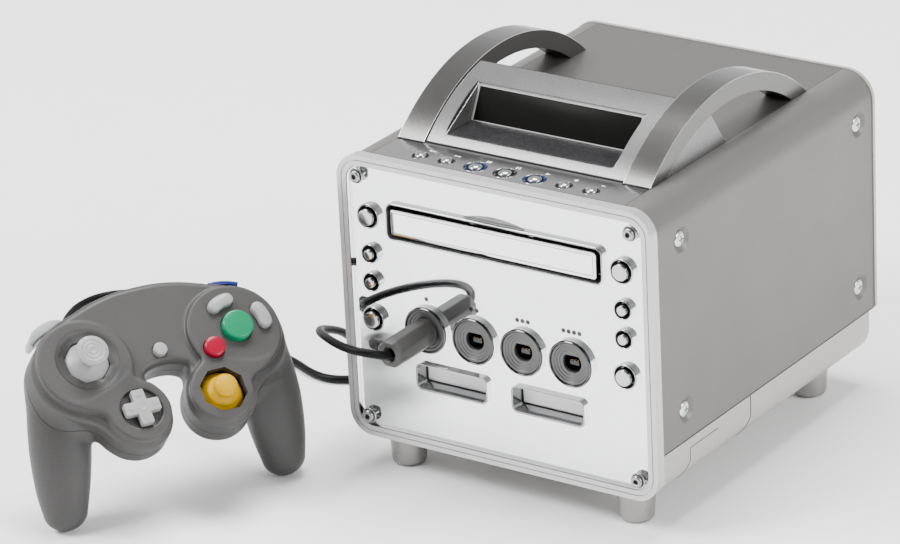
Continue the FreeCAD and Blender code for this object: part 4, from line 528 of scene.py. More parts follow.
def mesh_obj(name, verts, faces, mat, body, smooth=True, T=None):
    me_ = bpy.data.meshes.new(name)
    T = T or W
    me_.from_pydata([T(*v) for v in verts], [], [tuple(int(i) for i in f) for f in faces])
    me_.validate()
    bm_ = bmesh.new()
    bm_.from_mesh(me_)
    bmesh.ops.recalc_face_normals(bm_, faces=bm_.faces)
    bm_.to_mesh(me_)
    bm_.free()
    if smooth:
        me_.polygons.foreach_set("use_smooth", [True] * len(me_.polygons))
    o = bpy.data.objects.new(name, me_)
    bpy.context.scene.collection.objects.link(o)
    me_.materials.append(MATS[mat])
    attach(o, body)
    if body in PAD_BODIES and not name.startswith(("plug", "coil")):
        o.visible_transmission = False
    return o


def sharp(o, deg=35):
    """shade smooth except over edges sharper than deg"""
    me_ = o.data
    me_.polygons.foreach_set("use_smooth", [True] * len(me_.polygons))
    me_.set_sharp_from_angle(angle=math.radians(deg))
    return o


def front(cx, cz, y0=0.0):
    """local (u right, v up, w towards the viewer) on the front"""
    return lambda u, v, w: W(cx + u, y0 - w, cz + v)


def top(cx, cy, z0=0.0):
    return lambda u, v, w: W(cx + u, cy + v, z0 + w)


def back(cx, cz, y0):
    return lambda u, v, w: W(cx - u, y0 + w, cz + v)


def side(sx, x0, cy, cz):
    return lambda u, v, w: W(sx * (x0 + w), cy + u, cz + v)


def padT(cx=0, cy=0, cz=0):
    return lambda u, v, w: PL(cx + u, cy + v, cz + w)


def lathe(name, prof, mat, body, T, segs=64, sh=35, shape=None, close=False):
    """prof [(r, w)] turned about w; shape(angle) scales r for facets"""
    verts, faces = [], []
    rings = []
    for r, w in prof:
        if r < 1e-6:
            rings.append([len(verts)])
            verts.append((0, 0, w))
        else:
            ids = []
            for k in range(segs):
                a = 2 * math.pi * k / segs
                q = r * (shape(a) if shape else 1)
                ids.append(len(verts))
                verts.append((q * math.cos(a), q * math.sin(a), w))
            rings.append(ids)
    for A, B in (list(zip(rings[:-1], rings[1:])) + ([(rings[-1], rings[0])] if close else [])):
        if len(A) == 1 and len(B) == 1:
            continue
        for k in range(segs):
            j = (k + 1) % segs
            if len(A) == 1:
                faces.append((A[0], B[k], B[j]))
            elif len(B) == 1:
                faces.append((A[k], A[j], B[0]))
            else:
                faces.append((A[k], A[j], B[j], B[k]))
    o = mesh_obj(name, verts, faces, mat, body, T=T)
    return sharp(o, sh)


def rounded(prof, r=0.3, n=4):
    """rounds the inner corners of a lathe profile"""
    out = [prof[0]]
    for a, b, c in zip(prof[:-2], prof[1:-1], prof[2:]):
        A, B, C = Vector(a), Vector(b), Vector(c)
        l1, l2 = (A - B).length, (C - B).length
        k = min(r, l1 * 0.45, l2 * 0.45)
        if k < 1e-4:
            out.append(b)
            continue
        p, q = B + (A - B) * (k / l1), B + (C - B) * (k / l2)
        for i in range(n + 1):
            t = i / n
            out.append(tuple(p * (1 - t) ** 2 + B * 2 * t * (1 - t) + q * t * t))
    out.append(prof[-1])
    return out


def rrect(w, h, r, n=8):
    pts = []
    for cx, cy, a0 in ((w / 2 - r, h / 2 - r, 0), (-w / 2 + r, h / 2 - r, 90), (-w / 2 + r, -h / 2 + r, 180), (w / 2 - r, -h / 2 + r, 270)):
        for k in range(n + 1):
            a = math.radians(a0 + 90 * k / n)
            pts.append((cx + r * math.cos(a), cy + r * math.sin(a)))
    return pts


def regular(n, r, turn=0.0):
    return [(r * math.cos(math.radians(turn) + 2 * math.pi * k / n), r * math.sin(math.radians(turn) + 2 * math.pi * k / n)) for k in range(n)]


def skin(name, loops, mat, body, T, cap0=True, cap1=True, close=False, sh=35):
    """loops: list of rings of 3-D points, all the same length, joined one to the next"""
    verts = [p for l in loops for p in l]
    n = len(loops[0])
    faces = []
    pairs = list(zip(range(len(loops) - 1), range(1, len(loops))))
    if close:
        pairs.append((len(loops) - 1, 0))
    for a, b in pairs:
        for k in range(n):
            j = (k + 1) % n
            faces.append((a * n + k, a * n + j, b * n + j, b * n + k))
    if cap0 and not close:
        faces.append(tuple(range(n)))
    if cap1 and not close:
        faces.append(tuple((len(loops) - 1) * n + k for k in reversed(range(n))))
    o = mesh_obj(name, verts, faces, mat, body, T=T)
    return sharp(o, sh)


def offset2(pts, d):
    """offsets a closed 2-D outline inwards by d (positive) along its corner bisectors"""
    P = [Vector(p) for p in pts]
    n = len(P)
    area2 = sum(P[i].x * P[(i + 1) % n].y - P[(i + 1) % n].x * P[i].y for i in range(n))
    s = 1 if area2 > 0 else -1
    out = []
    for i in range(n):
        a, b, c = P[i - 1], P[i], P[(i + 1) % n]
        e1, e2 = (b - a).normalized(), (c - b).normalized()
        n1, n2 = Vector((-e1.y, e1.x)) * s, Vector((-e2.y, e2.x)) * s
        m_ = (n1 + n2)
        m_ = m_ / max(m_.length_squared / 2, 0.3)
        out.append((b.x + m_.x * d, b.y + m_.y * d))
    return out


def plate(name, outline, w0, w1, mat, body, T, round_top=0.4, round_low=0.0, n=4, crown=0.0, sh=35):
    """prism of an outline from w0 up to w1 with a rounded upper edge; crown raises its middle"""
    loops = []
    if round_low:
        for k in range(n + 1):
            a = math.pi / 2 * k / n
            loops.append([(x, y, w0 + round_low * (1 - math.sin(a))) for x, y in offset2(outline, round_low * (1 - math.cos(a)))][::1])
        loops = loops[::-1]
    else:
        loops.append([(x, y, w0) for x, y in outline])
    for k in range(n + 1):
        a = math.pi / 2 * k / n
        loops.append([(x, y, w1 - round_top * (1 - math.sin(a))) for x, y in offset2(outline, round_top * (1 - math.cos(a)))])
    if crown:
        last = loops[-1]
        cx = sum(p[0] for p in last) / len(last); cy = sum(p[1] for p in last) / len(last)
        for k in range(1, 7):
            f = k / 7
            loops.append([(p[0] + (cx - p[0]) * f, p[1] + (cy - p[1]) * f, p[2] + crown * (1 - (1 - f) ** 2)) for p in last])
    return skin(name, loops, mat, body, T, sh=sh)


def boolean(o, cutter, op="DIFFERENCE", keep=False):
    md = o.modifiers.new("cut", "BOOLEAN")
    md.operation = op
    md.object = cutter
    md.solver = "EXACT"
    bpy.context.view_layer.update()
    dg = bpy.context.evaluated_depsgraph_get()
    me_ = bpy.data.meshes.new_from_object(o.evaluated_get(dg))
    o.modifiers.remove(md)
    old = o.data
    o.data = me_
    bpy.data.meshes.remove(old)
    if not keep:
        bpy.data.objects.remove(cutter, do_unlink=True)
    return o


def raw(name, verts, faces, T=W):
    """helper solid that isn't a piece"""
    me_ = bpy.data.meshes.new(name)
    me_.from_pydata([T(*v) for v in verts], [], faces)
    bm_ = bmesh.new()
    bm_.from_mesh(me_)
    bmesh.ops.recalc_face_normals(bm_, faces=bm_.faces)
    bm_.to_mesh(me_)
    bm_.free()
    o = bpy.data.objects.new(name, me_)
    bpy.context.scene.collection.objects.link(o)
    return o


def raw_prism(name, outline, w0, w1, T):
    n = len(outline)
    v = [(x, y, w0) for x, y in outline] + [(x, y, w1) for x, y in outline]
    f = [tuple(range(n)), tuple(range(2 * n - 1, n - 1, -1))] + [(k, (k + 1) % n, n + (k + 1) % n, n + k) for k in range(n)]
    return raw(name, v, f, T)


def join_raw(objs):
    """one helper made of several"""
    bm_ = bmesh.new()
    for o in objs:
        me_ = o.data.copy()
        me_.transform(o.matrix_world)
        bm_.from_mesh(me_)
        bpy.data.meshes.remove(me_)
    me_ = bpy.data.meshes.new("joined")
    bm_.to_mesh(me_)
    bm_.free()
    for o in objs:
        bpy.data.objects.remove(o, do_unlink=True)
    o = bpy.data.objects.new("joined", me_)
    bpy.context.scene.collection.objects.link(o)
    return o


def tube_path(name, pts, r, mat, body, T, segs=16, closed=False):
    """round bar along a polyline"""
    P = [Vector(p) for p in pts]
    n = len(P)
    loops = []
    up = None
    for i in range(n):
        a = P[i - 1] if (i > 0 or closed) else P[i]
        b = P[(i + 1) % n] if (i < n - 1 or closed) else P[i]
        t = (b - a).normalized()
        if up is None:
            up = Vector((0, 0, 1)) if abs(t.z) < 0.9 else Vector((1, 0, 0))
        s_ = t.cross(up).normalized()
        up = s_.cross(t).normalized()
        loops.append([tuple(P[i] + (s_ * math.cos(2 * math.pi * k / segs) + up * math.sin(2 * math.pi * k / segs)) * r) for k in range(segs)])
    return skin(name, loops, mat, body, T, close=closed)


# ---------------------------------------------------------------- front: keys, sockets, slots, door
BZ, SZ = 4.2, 2.6
KEYPOS = [(-73.0, 136.2, 1), (-73.0, 116.4, 0), (-73.0, 101.4, 0), (-73.0, 81.8, 1), (73.0, 136.2, 1), (73.0, 116.4, 0), (73.0, 101.4, 0), (73.0, 81.8, 1)]
for (x, z, big), lab in zip(KEYPOS, FRONT_KEYS):
    r = BZ if big else SZ
    out = 2.0 if big else 1.5
    # crowned face, turned groove near the rim, skirt that runs into the console
    prof = [(0, out), (r * 0.45, out - 0.03), (r * 0.72, out - 0.10)] + [(r - 0.55 + 0.55 * math.sin(math.radians(a)), out - 0.70 + 0.55 * math.cos(math.radians(a))) for a in range(0, 91, 15)]
    prof += [(r, out - 1.3), (r - 0.12, out - 1.35), (r - 0.12, out - 1.6), (r, out - 1.65), (r, -8.2), (r + 1.5, -8.4), (r + 1.5, -9.4), (0, -9.4)]
    o = lathe("cap_" + lab, prof, "cap_chrome", lab, front(x, z), segs=72)
    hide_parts(lab)
    # lipped sleeve between the clear plate and the well, with a black liner inside that is painted shade in the gap
    # round the key
    ro, ri = (6.45, 5.75) if big else (4.95, 4.4)
    lathe("sleeve_" + lab, rounded([(ri, -4.3), (ri, -0.5), (ri + 0.05, -0.1), (ri + 0.35, 0.06), (ro - 0.1, 0.05), (ro, -0.5), (ro, -3.9)], 0.12, 3), "rim_chrome", "console", front(x, z), segs=72, close=True)
    lathe("liner_" + lab, rounded([(ri - 0.05, -4.3), (ri - 0.05, -0.35), (ri - 0.3, -0.45), (ri - 0.45, -0.9), (ri - 0.45, -4.3)], 0.1, 2), "dark", "console", front(x, z), segs=72, close=True)

for i, x in enumerate((-42.0, -14.0, 14.0, 42.0)):
    z = 81.9
    # bright turned rim around a plastic face with fine concentric steps
    prof = rounded([(12.0, -3.9), (12.0, 0.1), (11.6, 0.5), (11.35, 0.5), (11.1, 0.35), (10.95, 0.0), (10.9, -0.5), (10.9, -3.9)], 0.12, 3)
    o = lathe("socket_rim_%d" % (i + 1), prof, "socket_rim", "console", front(x, z), segs=112, sh=28, close=True)
    if not i:
        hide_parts("gamepad_sockets")
    prof = rounded([(10.88, -3.9), (10.88, -0.45), (10.6, -0.30), (9.7, -0.32), (9.45, -0.62), (9.2, -1.0), (8.35, -1.05), (8.2, -1.2), (8.12, -1.5), (6.95, -1.55), (6.8, -1.7), (6.72, -1.95), (6.0, -2.0), (6.0, -3.9)], 0.10, 3)
    lathe("socket_face_%d" % (i + 1), prof, "socket_grey", "console", front(x, z), segs=112, sh=28, close=True)
    # face ring closed down to the keyed hole, and the dark cup behind it
    a = math.asin(3.65 / 5.15)
    key = [(5.15 * math.cos(t), 5.15 * math.sin(t)) for t in np.linspace(math.pi - a, 2 * math.pi + a, 44)]
    key += [(3.633 * (1 - 2 * t), 3.65) for t in np.arange(1, 14) / 14]
    rnd = [(6.03 * u / math.hypot(u, v), 6.03 * v / math.hypot(u, v)) for u, v in key]
    loops = [[(u, v, w) for u, v in rnd] for w in (-3.6, -2.0)] + [[(u, v, w) for u, v in offset2(key, d)] for d, w in ((-0.45, -1.98), (-0.2, -2.02), (-0.05, -2.15), (0.0, -2.4), (0.05, -3.6))]
    skin("socket_key_%d" % (i + 1), loops, "socket_grey", "console", front(x, z), close=True)
    loops = [[(u, v, w) for u, v in offset2(key, d)] for d, w in ((-0.6, -3.62), (0.12, -3.6), (0.14, -12.5), (-0.6, -12.5))]
    skin("socket_cup_%d" % (i + 1), loops, "dark", "console", front(x, z), close=True)
    if i:
        plate("socket_tongue_%d" % (i + 1), rrect(5.4, 2.3, 0.4, 3), -12.4, -4.2, "socket_tongue", "console", front(x, z - 0.9), round_top=0.25)
        for k in range(3):
            plate("socket_pin_%d_%d" % (i + 1, k), rrect(0.7, 0.25, 0.1, 2), -12.0, -4.6, "contact_gold", "console", front(x - 1.7 + 1.7 * k, z + 0.42), round_top=0.05)
    # rank marks above the socket
    for k in range(i + 1):
        u = (k - i / 2) * 3.05
        lathe("rank_dot_%d_%d" % (i + 1, k), [(0, 0.06), (1.15, 0.06), (1.2, 0.0), (1.2, -0.02), (0, -0.02)], "mark_grey", "console", front(x + u, 97.8, 4.06), segs=20)

for i, x in enumerate((-28.0, 28.0)):
    z = 56.4
    # black ring between the frame and the flap: painted shade in the gap round the flap
    loops = [[(u, v, w) for u, v in rrect(38.3 - 2 * d, 9.3 - 2 * d, 0.6, 3)] for d, w in ((0.0, -7.65), (0.0, -7.0), (0.06, -6.9), (0.28, -6.9), (0.34, -7.0), (0.34, -7.65))]
    skin("slot_shade_ring_%d" % i, loops, "dark", "console", front(x, z), close=True)
    # flap with a folded lip and a fine rib
    lab = "card_flap_a" if i == 0 else "card_flap_b"
    o = plate("leaf_" + lab, rrect(37.5, 8.3, 0.5, 3), -8.9, -7.7, "flap_grey", lab, front(x, z - 0.3), round_top=0.3)
    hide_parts(lab)
    plate("rib_" + lab, rrect(35.6, 0.5, 0.2, 3), -7.8, -7.35, "flap_grey", lab, front(x, z - 3.4), round_top=0.15)
    tube_path("pin_" + lab, [(x - 18.7, 8.3, 60.0), (x + 18.7, 8.3, 60.0)], 0.85, "flap_grey", lab, W)

# tray door: bevelled slab with a fine line set in from its edge
def ringplate(name, loops, mat, body, T, sh=30):
    return skin(name, loops, mat, body, T, cap0=True, cap1=True, sh=sh)
seq = [(0.0, -3.9), (0.0, -0.30), (0.10, -0.08), (0.30, 0.02), (1.35, 0.06), (1.45, 0.06), (1.50, -0.12), (1.75, -0.12), (1.80, 0.06), (2.05, 0.06)]
door = ringplate("door_slab", [[(u, v, w) for u, v in rrect(118.0 - 2 * d, 13.6 - 2 * d, max(0.35, 1.6 - d), 6)] for d, w in seq], "door_mirror", "tray", front(0, 136.0))
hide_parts("tray_door")
# darker grey strip over the fine groove: painted shade of the groove
skin("door_groove_shade", [[(u, v, w) for u, v in rrect(118.0 - 2 * d, 13.6 - 2 * d, max(0.35, 1.6 - d), 6)] for d, w in ((1.50, -0.2), (1.50, 0.05), (1.54, 0.08), (1.72, 0.08), (1.76, 0.05), (1.76, -0.2))], "throat_grey", "tray", front(0, 136.0), close=True)
# chromed lip around the tray mouth, and inside it a black throat that is painted shade in the mouth
seq = [(0.05, -3.9), (0.05, -0.45), (0.2, -0.05), (0.45, 0.08), (0.75, -0.05), (0.95, -0.5), (0.95, -3.9)]
skin("mouth_lip", [[(u, v, w) for u, v in rrect(124.8 - 2 * d, 19.4 - 2 * d, 4.0 - d, 8)] for d, w in seq], "rim_chrome", "console", front(0, 136.0), close=True)
seq = [(1.0, -3.9), (1.0, -0.7), (1.25, -0.75), (1.9, -2.0), (2.35, -3.2), (2.35, -3.9)]
skin("mouth_throat_shade", [[(u, v, w) for u, v in rrect(124.8 - 2 * d, 19.4 - 2 * d, max(0.5, 4.0 - d), 8)] for d, w in seq], "throat_shade_black", "console", front(0, 136.0), close=True)
# finger notch: dished crescent over the middle of the door
loops = []
for d, w in ((0.0, -0.05), (0.1, 0.1), (0.35, 0.1), (0.55, -0.15), (0.7, -0.4)):
    row = []
    for k in range(29):
        t = -1 + 2 * k / 28
        row.append((17.5 * t * (1 - d * 0.06), 9.75 + (2.7 - d) * max(0.0, 1 - t * t) ** 0.9, w))
    row += [(17.5 * (1 - d * 0.06) * (1 - 2 * k / 28), 9.72 - 0.25 * 0, w) for k in range(1, 28)]
    loops.append(row)
skin("notch_crescent", loops, "throat_grey", "console", front(0, 136.0, 4.15), cap0=True, cap1=True)
# ---------------------------------------------------------------- screws
for i, (x, z) in enumerate([(sx * 78.5, zz) for sx in (-1, 1) for zz in (28.6, 156.6)]):
    lathe("washer_%d" % i, rounded([(1.6, -0.45), (3.95, -0.45), (3.95, -0.05), (3.6, 0.15), (1.6, 0.15)], 0.1), "slot_chrome", "console", front(x, z), segs=48, close=True)
    lathe("screw_shade_%d" % i, rounded([(2.6, 0.0), (2.6, 0.22), (3.5, 0.22), (3.55, 0.0)], 0.06, 2), "dark", "console", front(x, z), segs=48, close=True)
    # dark disc at the bottom of each hex recess: painted shade
    lathe("screw_pit_shade_%d" % i, [(0, 0.98), (1.25, 0.98), (1.3, 0.8), (0, 0.7)], "dark", "console", front(x, z), segs=24)
    hexp = regular(6, 1.45, 15 + 20 * i)
    verts, faces = [], []
    prof = [(3.05, 0.1), (3.1, 0.6)] + [(3.1 - 1.0 * (1 - math.cos(math.radians(a))), 1.1 + 1.0 * math.sin(math.radians(a))) for a in (0, 20, 40, 60, 80, 90)] + [(1.95, 2.1)]
    n = 48
    loops = [[(r * math.cos(2 * math.pi * k / n), r * math.sin(2 * math.pi * k / n), w) for k in range(n)] for r, w in prof]
    def hexring(sc, w):
        out = []
        for k in range(n):
            t = k / n * 6
            j = int(t) % 6; f = t - int(t)
            p, q = hexp[j], hexp[(j + 1) % 6]
            out.append(((p[0] * (1 - f) + q[0] * f) * sc, (p[1] * (1 - f) + q[1] * f) * sc, w))
        # turn the ring so that it starts at angle 0
        out.sort(key=lambda p: math.atan2(p[1], p[0]) % (2 * math.pi))
        return out
    loops += [hexring(1.12, 2.08), hexring(1.0, 1.9), hexring(0.98, 0.75)]
    o = skin("screw_head_%d" % i, loops, "knob_chrome", "console", front(x, z))
    if not i:
        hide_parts("cover_screws")
# side screws: domed heads in the covers' dimples, each with a flat dark cross on it that is painted shade standing for
# a cross recess
for i, (sx, y, z) in enumerate([(sx, yy, zz) for sx in (-1, 1) for yy in (28.6, 196.7) for zz in (57.0, 145.3)]):
    T = side(sx, 89.1, y, z)
    lathe("dimple_ring_%d" % i, rounded([(6.5, -0.30), (7.0, 0.02), (7.35, 0.06), (7.6, -0.02), (7.2, -0.4)], 0.1, 3), "silver_side", "console", T, segs=56, close=True)
    prof = [(0, -1.9), (4.15, -1.9), (4.2, -1.45)] + [(4.2 * math.cos(math.radians(a)), -1.45 + 1.35 * math.sin(math.radians(a))) for a in (12, 28, 45, 62, 76)] + [(0.75, -0.10), (0.62, -0.16), (0.6, -1.2), (0, -1.2)]
    lathe("side_screw_%d" % i, prof, "chrome", "console", T, segs=56)
    # flat dark cross on the head: painted shade of a cross recess
    for k in (0, 1):
        plate("side_recess_shade_%d_%d" % (i, k), [(u, v) for u, v in (rrect(3.6, 0.55, 0.2, 3) if k else rrect(0.55, 3.6, 0.2, 3))], -0.9, -0.055, "dark", "console", T, round_top=0.05)

# window of the remote-control eye, small lens in it
plate("remote_window", rrect(13.4, 6.0, 2.9, 10), -4.9, -4.15, "window_dark", "console", front(-71.6, 67.0), round_top=0.3, crown=0.05)
lathe("remote_lens", [(0, 0.30), (0.8, 0.26), (1.5, 0.12), (1.9, 0.0), (1.9, -0.3), (0, -0.3)], "ring_black", "console", front(-71.6, 67.0, 4.15), segs=32)

# ---------------------------------------------------------------- ledge: seats, rings, domes and marks
LZ = 167.8
for i, (x, big) in enumerate([(-49.0, 0), (-33.8, 0), (-17.0, 1), (0.0, 1), (17.0, 1), (33.8, 0), (49.0, 0)]):
    T = top(x, 13.6, LZ)
    lab = "top_button_%d" % (i + 1)
    rd = 3.5 if big else 2.9
    if big:
        lathe("key_rim_%d" % i, rounded([(6.28, -1.2), (6.3, 0.05), (6.2, 0.18), (6.05, 0.16), (5.95, -0.05), (5.9, -1.2)], 0.05, 3), "slot_chrome", "console", T, segs=80, close=True)
        lathe("key_glow_%d" % i, rounded([(5.9, -1.25), (5.9, -0.12), (5.4, 0.06), (4.6, 0.02), (4.35, -0.25), (4.3, -1.25)], 0.1, 3), "ring_black" if i == 3 else "ring_blue", "console", T, segs=80, close=True)
        lathe("key_seat_%d" % i, rounded([(4.3, -1.28), (4.3, -0.25), (4.2, -0.1), (4.05, -0.12), (3.8, -0.5), (3.75, -1.28)], 0.06, 3), "ring_black", "console", T, segs=72, close=True)
        for q in range(4):
            a = math.radians(45 + 90 * q)
            plate("key_cleat_%d_%d" % (i, q), [(5.05 * math.cos(a) + u * math.cos(a) - v * math.sin(a), 5.05 * math.sin(a) + u * math.sin(a) + v * math.cos(a)) for u, v in rrect(1.0, 0.6, 0.2, 2)], -0.5, 0.12, "ring_chrome", "console", T, round_top=0.08)
    else:
        lathe("key_rim_%d" % i, rounded([(4.58, -1.2), (4.6, 0.05), (4.45, 0.2), (4.25, 0.16), (4.1, -0.1), (4.05, -0.9), (4.05, -1.25)], 0.06, 3), "ring_chrome", "console", T, segs=72, close=True)
        lathe("key_well_%d" % i, rounded([(4.04, -1.28), (4.04, -0.5), (3.8, -0.45), (3.3, -0.6), (3.2, -1.28)], 0.06, 2), "dark", "console", T, segs=56, close=True)
    prof = [(0, 1.5)] + [(rd * math.sin(math.radians(a)), -0.35 + 1.85 * math.cos(math.radians(a))) for a in (8, 18, 28, 40, 52, 64, 76, 86)] + [(rd, -0.5), (rd, -1.0), (rd - 0.1, -1.06), (rd - 0.1, -1.3), (rd, -1.36), (rd, -3.4), (rd + 1.15, -3.5), (rd + 1.15, -4.45), (0, -4.45)]
    o = lathe("dome_" + lab, prof, "knob_chrome", lab, T, segs=64)
    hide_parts(lab)


def mark(name, outline, x, y):
    plate(name, [(u * 1.3, v * 1.3) for u, v in outline], -0.04, 0.07, "mark_white", "console", top(x, y, LZ), round_top=0.02, n=2)


tri = [(-0.95, -0.85), (0.95, 0.0), (-0.95, 0.85)]
for i, x in enumerate((-49.0, -33.8)):
    s_ = -1 if i == 0 else 1
    for k in (-0.55, 0.95):
        mark("skip_mark_%d_%d" % (i, int(k > 0)), [(s_ * (u * 0.75 + k - 0.2), v * 0.75) for u, v in tri], x + 1.8, 21.2)
mark("stop_mark", rrect(2.0, 1.7, 0.1, 2), -14.6, 22.0)
for k in (-0.62, 0.62):
    mark("pause_mark_%d" % int(k > 0), [(u + k, v) for u, v in rrect(0.62, 1.8, 0.08, 2)], 2.4, 22.0)
mark("play_mark", tri, 19.4, 22.0)
for i, x in enumerate((33.8, 49.0)):
    mark("set_mark_%d" % i, rrect(1.6, 0.55, 0.1, 2) if i else regular(4, 1.0, 0), x + 1.8, 21.6)

# ---------------------------------------------------------------- hood: dark strips of painted shade in its seams, recess lining, display frame
AY_, AZ_ = 101.7, 89.5
seam_shade_yz = [(28.9, 167.75), (30.3, 167.75), (30.3, 168.45), (29.15, 168.45)]


def xprism(name, poly, x0, x1, mat, body, bev=0.0):
    """prism along x of an outline in (y, z)"""
    loops = [[(x0, y, z) for y, z in poly], [(x1, y, z) for y, z in poly]]
    o = skin(name, loops, mat, body, W)
    if bev:
        bevel(o, bev, 2)
    return o


# dark strips in the gaps under the hood's and rails' front edges, over the ledge: painted shade
xprism("hood_seam_shade", seam_shade_yz, -56.9, 56.9, "dark", "console")
for sx in (-1, 1):
    xprism("rail_seam_shade_%s" % ("left" if sx < 0 else "right"), [(27.35, 167.75), (28.9, 167.75), (28.9, 168.2), (27.5, 168.2)], min(sx * 57.4, sx * 72.2), max(sx * 57.4, sx * 72.2), "dark", "console")
RH = 106.3
fy = AY_ - math.sqrt(RH ** 2 - (171.6 - AZ_) ** 2)
xprism("recess_floor", [(fy + 0.35, 171.5), (55.3, 171.5), (55.4, 171.95), (fy + 0.85, 171.95)], -48.85, 48.85, "smoked", "console")
# side linings: straight upper edge under the hood's curved cut, with a bright bead that is a painted highlight on that
# edge, and above it a dark slot that is painted shade on the hood's cut wall
ly0, lz0 = fy + 1.0, 171.7
ly1, lz1 = 66.4, 189.2
for sx, nm in ((-1, "left"), (1, "right")):
    x0, x1 = sorted((sx * 48.88, sx * 48.0))
    xprism("recess_lining_" + nm, [(ly0, lz0), (56.0, lz0), (64.4, 187.9), (ly1, lz1)], x0, x1, "hood_speckle", "console")
    arc_ = []
    a0 = math.atan2(lz0 - AZ_, fy - AY_)
    a1 = math.atan2(190.2 - AZ_, AY_ - 101.7 - 33.0)
    for k in range(25):
        a = a0 + (a1 - a0) * k / 24
        arc_.append((AY_ + (RH - 0.5) * math.cos(a), AZ_ + (RH - 0.5) * math.sin(a)))
    arc_ = [p for p in arc_ if p[1] < lz1 + 0.6]
    xa, xb = sorted((sx * 48.87, sx * 48.62))
    # dark slot: painted shade on the hood's cut wall above the lining
    xprism("recess_shade_slot_" + nm, [(ly0 + 0.4, lz0), (ly1 + 0.2, lz1)] + arc_[::-1], xa, xb, "dark", "console")
    tube_path("recess_highlight_bead_" + nm, [(sx * 48.2, ly0 + 0.1, lz0 + 0.1), (sx * 48.2, ly1, lz1)], 0.2, "bezel_satin", "console", W, segs=12)
for sx, nm in ((-1, "left"), (1, "right")):
    for far in (0, 1):
        r_ = 2.0 if far else 3.2
        a_ = (math.pi - math.asin((190.0 - AZ_) / RH) - 0.0) if far else (math.pi - math.asin((171.55 - AZ_) / RH))
        sg = 1 if far else -1
        pts2 = [(0.25, -0.25), (-r_, -0.25)] + [(-r_ + r_ * math.sin(t), r_ - r_ * math.cos(t)) for t in np.linspace(0, math.pi / 2, 9)] + [(0.25, r_)]
        if not far:
            loops = []
            for w in (-2.6, 0.012):
                loops.append([(sx * (48.9 + u), AY_ + (RH + w) * math.cos(a_ + sg * v / RH), AZ_ + (RH + w) * math.sin(a_ + sg * v / RH)) for u, v in pts2])
            skin("hood_corner_" + nm, loops, "hood_speckle", "console", W)
# display: leaning frame of four mitred bars around a dark pane
uy, uz_ = 8.8 / math.hypot(8.8, 16.8), 16.8 / math.hypot(8.8, 16.8)
ny, nz = -uz_, uy


def lean_T(u, v, w):
    """u along x, v up the leaning face, w out of it"""
    return W(u, 55.8 + uy * v + ny * w, 171.6 + uz_ * v + nz * w)


outer = [(-47.9, 0.15), (47.9, 0.15), (47.9, 18.2), (-47.9, 18.2)]
inner = [(-46.6, 0.75), (46.6, 0.75), (46.6, 17.5), (-46.6, 17.5)]
lo = []
for d, w in ((0.0, -0.1), (0.0, 0.35), (0.18, 0.55), (0.75, 0.55), (1.0, 0.2), (1.0, -0.1)):
    lo.append([(ox + (ix - ox) * d, oy + (iy - oy) * d, w) for (ox, oy), (ix, iy) in zip(outer, inner)])
skin("display_frame", lo, "bezel_satin", "console", lean_T, cap0=False, cap1=False, close=True, sh=25)
plate("display_pane", [(-46.65, 0.7), (46.65, 0.7), (46.65, 17.55), (-46.65, 17.55)], -0.08, 0.12, "display_dark", "console", lean_T, round_top=0.05, n=2)

# bright beads on the rails' long edges, in a brighter metal than the rails: painted highlights
for sx, nm in ((-1, "left"), (1, "right")):
    for xe, k in ((57.42, 0), (72.38, 1)):
        pts_ = []
        for q in range(61):
            z0 = 168.1
            a0 = math.pi - math.asin((z0 - AZ_) / 107.2)
            a1 = math.asin((z0 - AZ_) / 107.2)
            a = a0 + (a1 - a0) * q / 60
            pts_.append((sx * xe, AY_ + 107.16 * math.cos(a), AZ_ + 107.16 * math.sin(a)))
        tube_path("rail_highlight_bead_%s_%d" % (nm, k), pts_, 0.2, "edge_highlight_chrome", "console", W, segs=10)
# bead along the hood's rear edge
hz = math.sqrt(RH ** 2 - (79.6 - AY_) ** 2) + AZ_
tube_path("hood_bead", [(-56.9, 79.9, hz - 0.05), (56.9, 79.9, hz - 0.05)], 0.2, "dark", "console", W, segs=12)

# ---------------------------------------------------------------- gamepad shells
STEP = 0.6
F, org = pad_field(STEP)
z_of = (np.arange(F.shape[2], dtype=np.float32) * STEP + org[2])[None, None, :]
core = np.maximum(F + 0.85, np.abs(z_of + 13.15) - 0.9)


def shell_mesh(name, field, mat):
    v, q = surface_nets(field, org, STEP)
    o = mesh_obj(name, v, q, mat, "gamepad", T=PL)
    return o


def halve(o, z_cut, keep_up):
    """cuts a shell along its seam and closes it"""
    bm_ = bmesh.new()
    bm_.from_mesh(o.data)
    co = PL(0, 0, z_cut)
    no = (PL(0, 0, 1) - PL(0, 0, 0)).normalized()
    g = bmesh.ops.bisect_plane(bm_, geom=bm_.verts[:] + bm_.edges[:] + bm_.faces[:], plane_co=co, plane_no=no, clear_inner=keep_up, clear_outer=not keep_up)
    ed = [e for e in g["geom_cut"] if isinstance(e, bmesh.types.BMEdge)]
    bmesh.ops.holes_fill(bm_, edges=ed, sides=0)
    bmesh.ops.recalc_face_normals(bm_, faces=bm_.faces)
    bm_.to_mesh(o.data)
    bm_.free()
    o.data.polygons.foreach_set("use_smooth", [True] * len(o.data.polygons))


up_ = shell_mesh("pad_upper", F, "pad_shell")
low_ = shell_mesh("pad_lower", F, "pad_shell")
core_ = shell_mesh("pad_seam", core, "pad_seam")
halve(up_, -12.98, True)
halve(low_, -13.32, False)
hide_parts("gamepad_upper_shell")
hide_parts("gamepad_lower_shell")
print("shell faces", len(up_.data.polygons), len(low_.data.polygons))


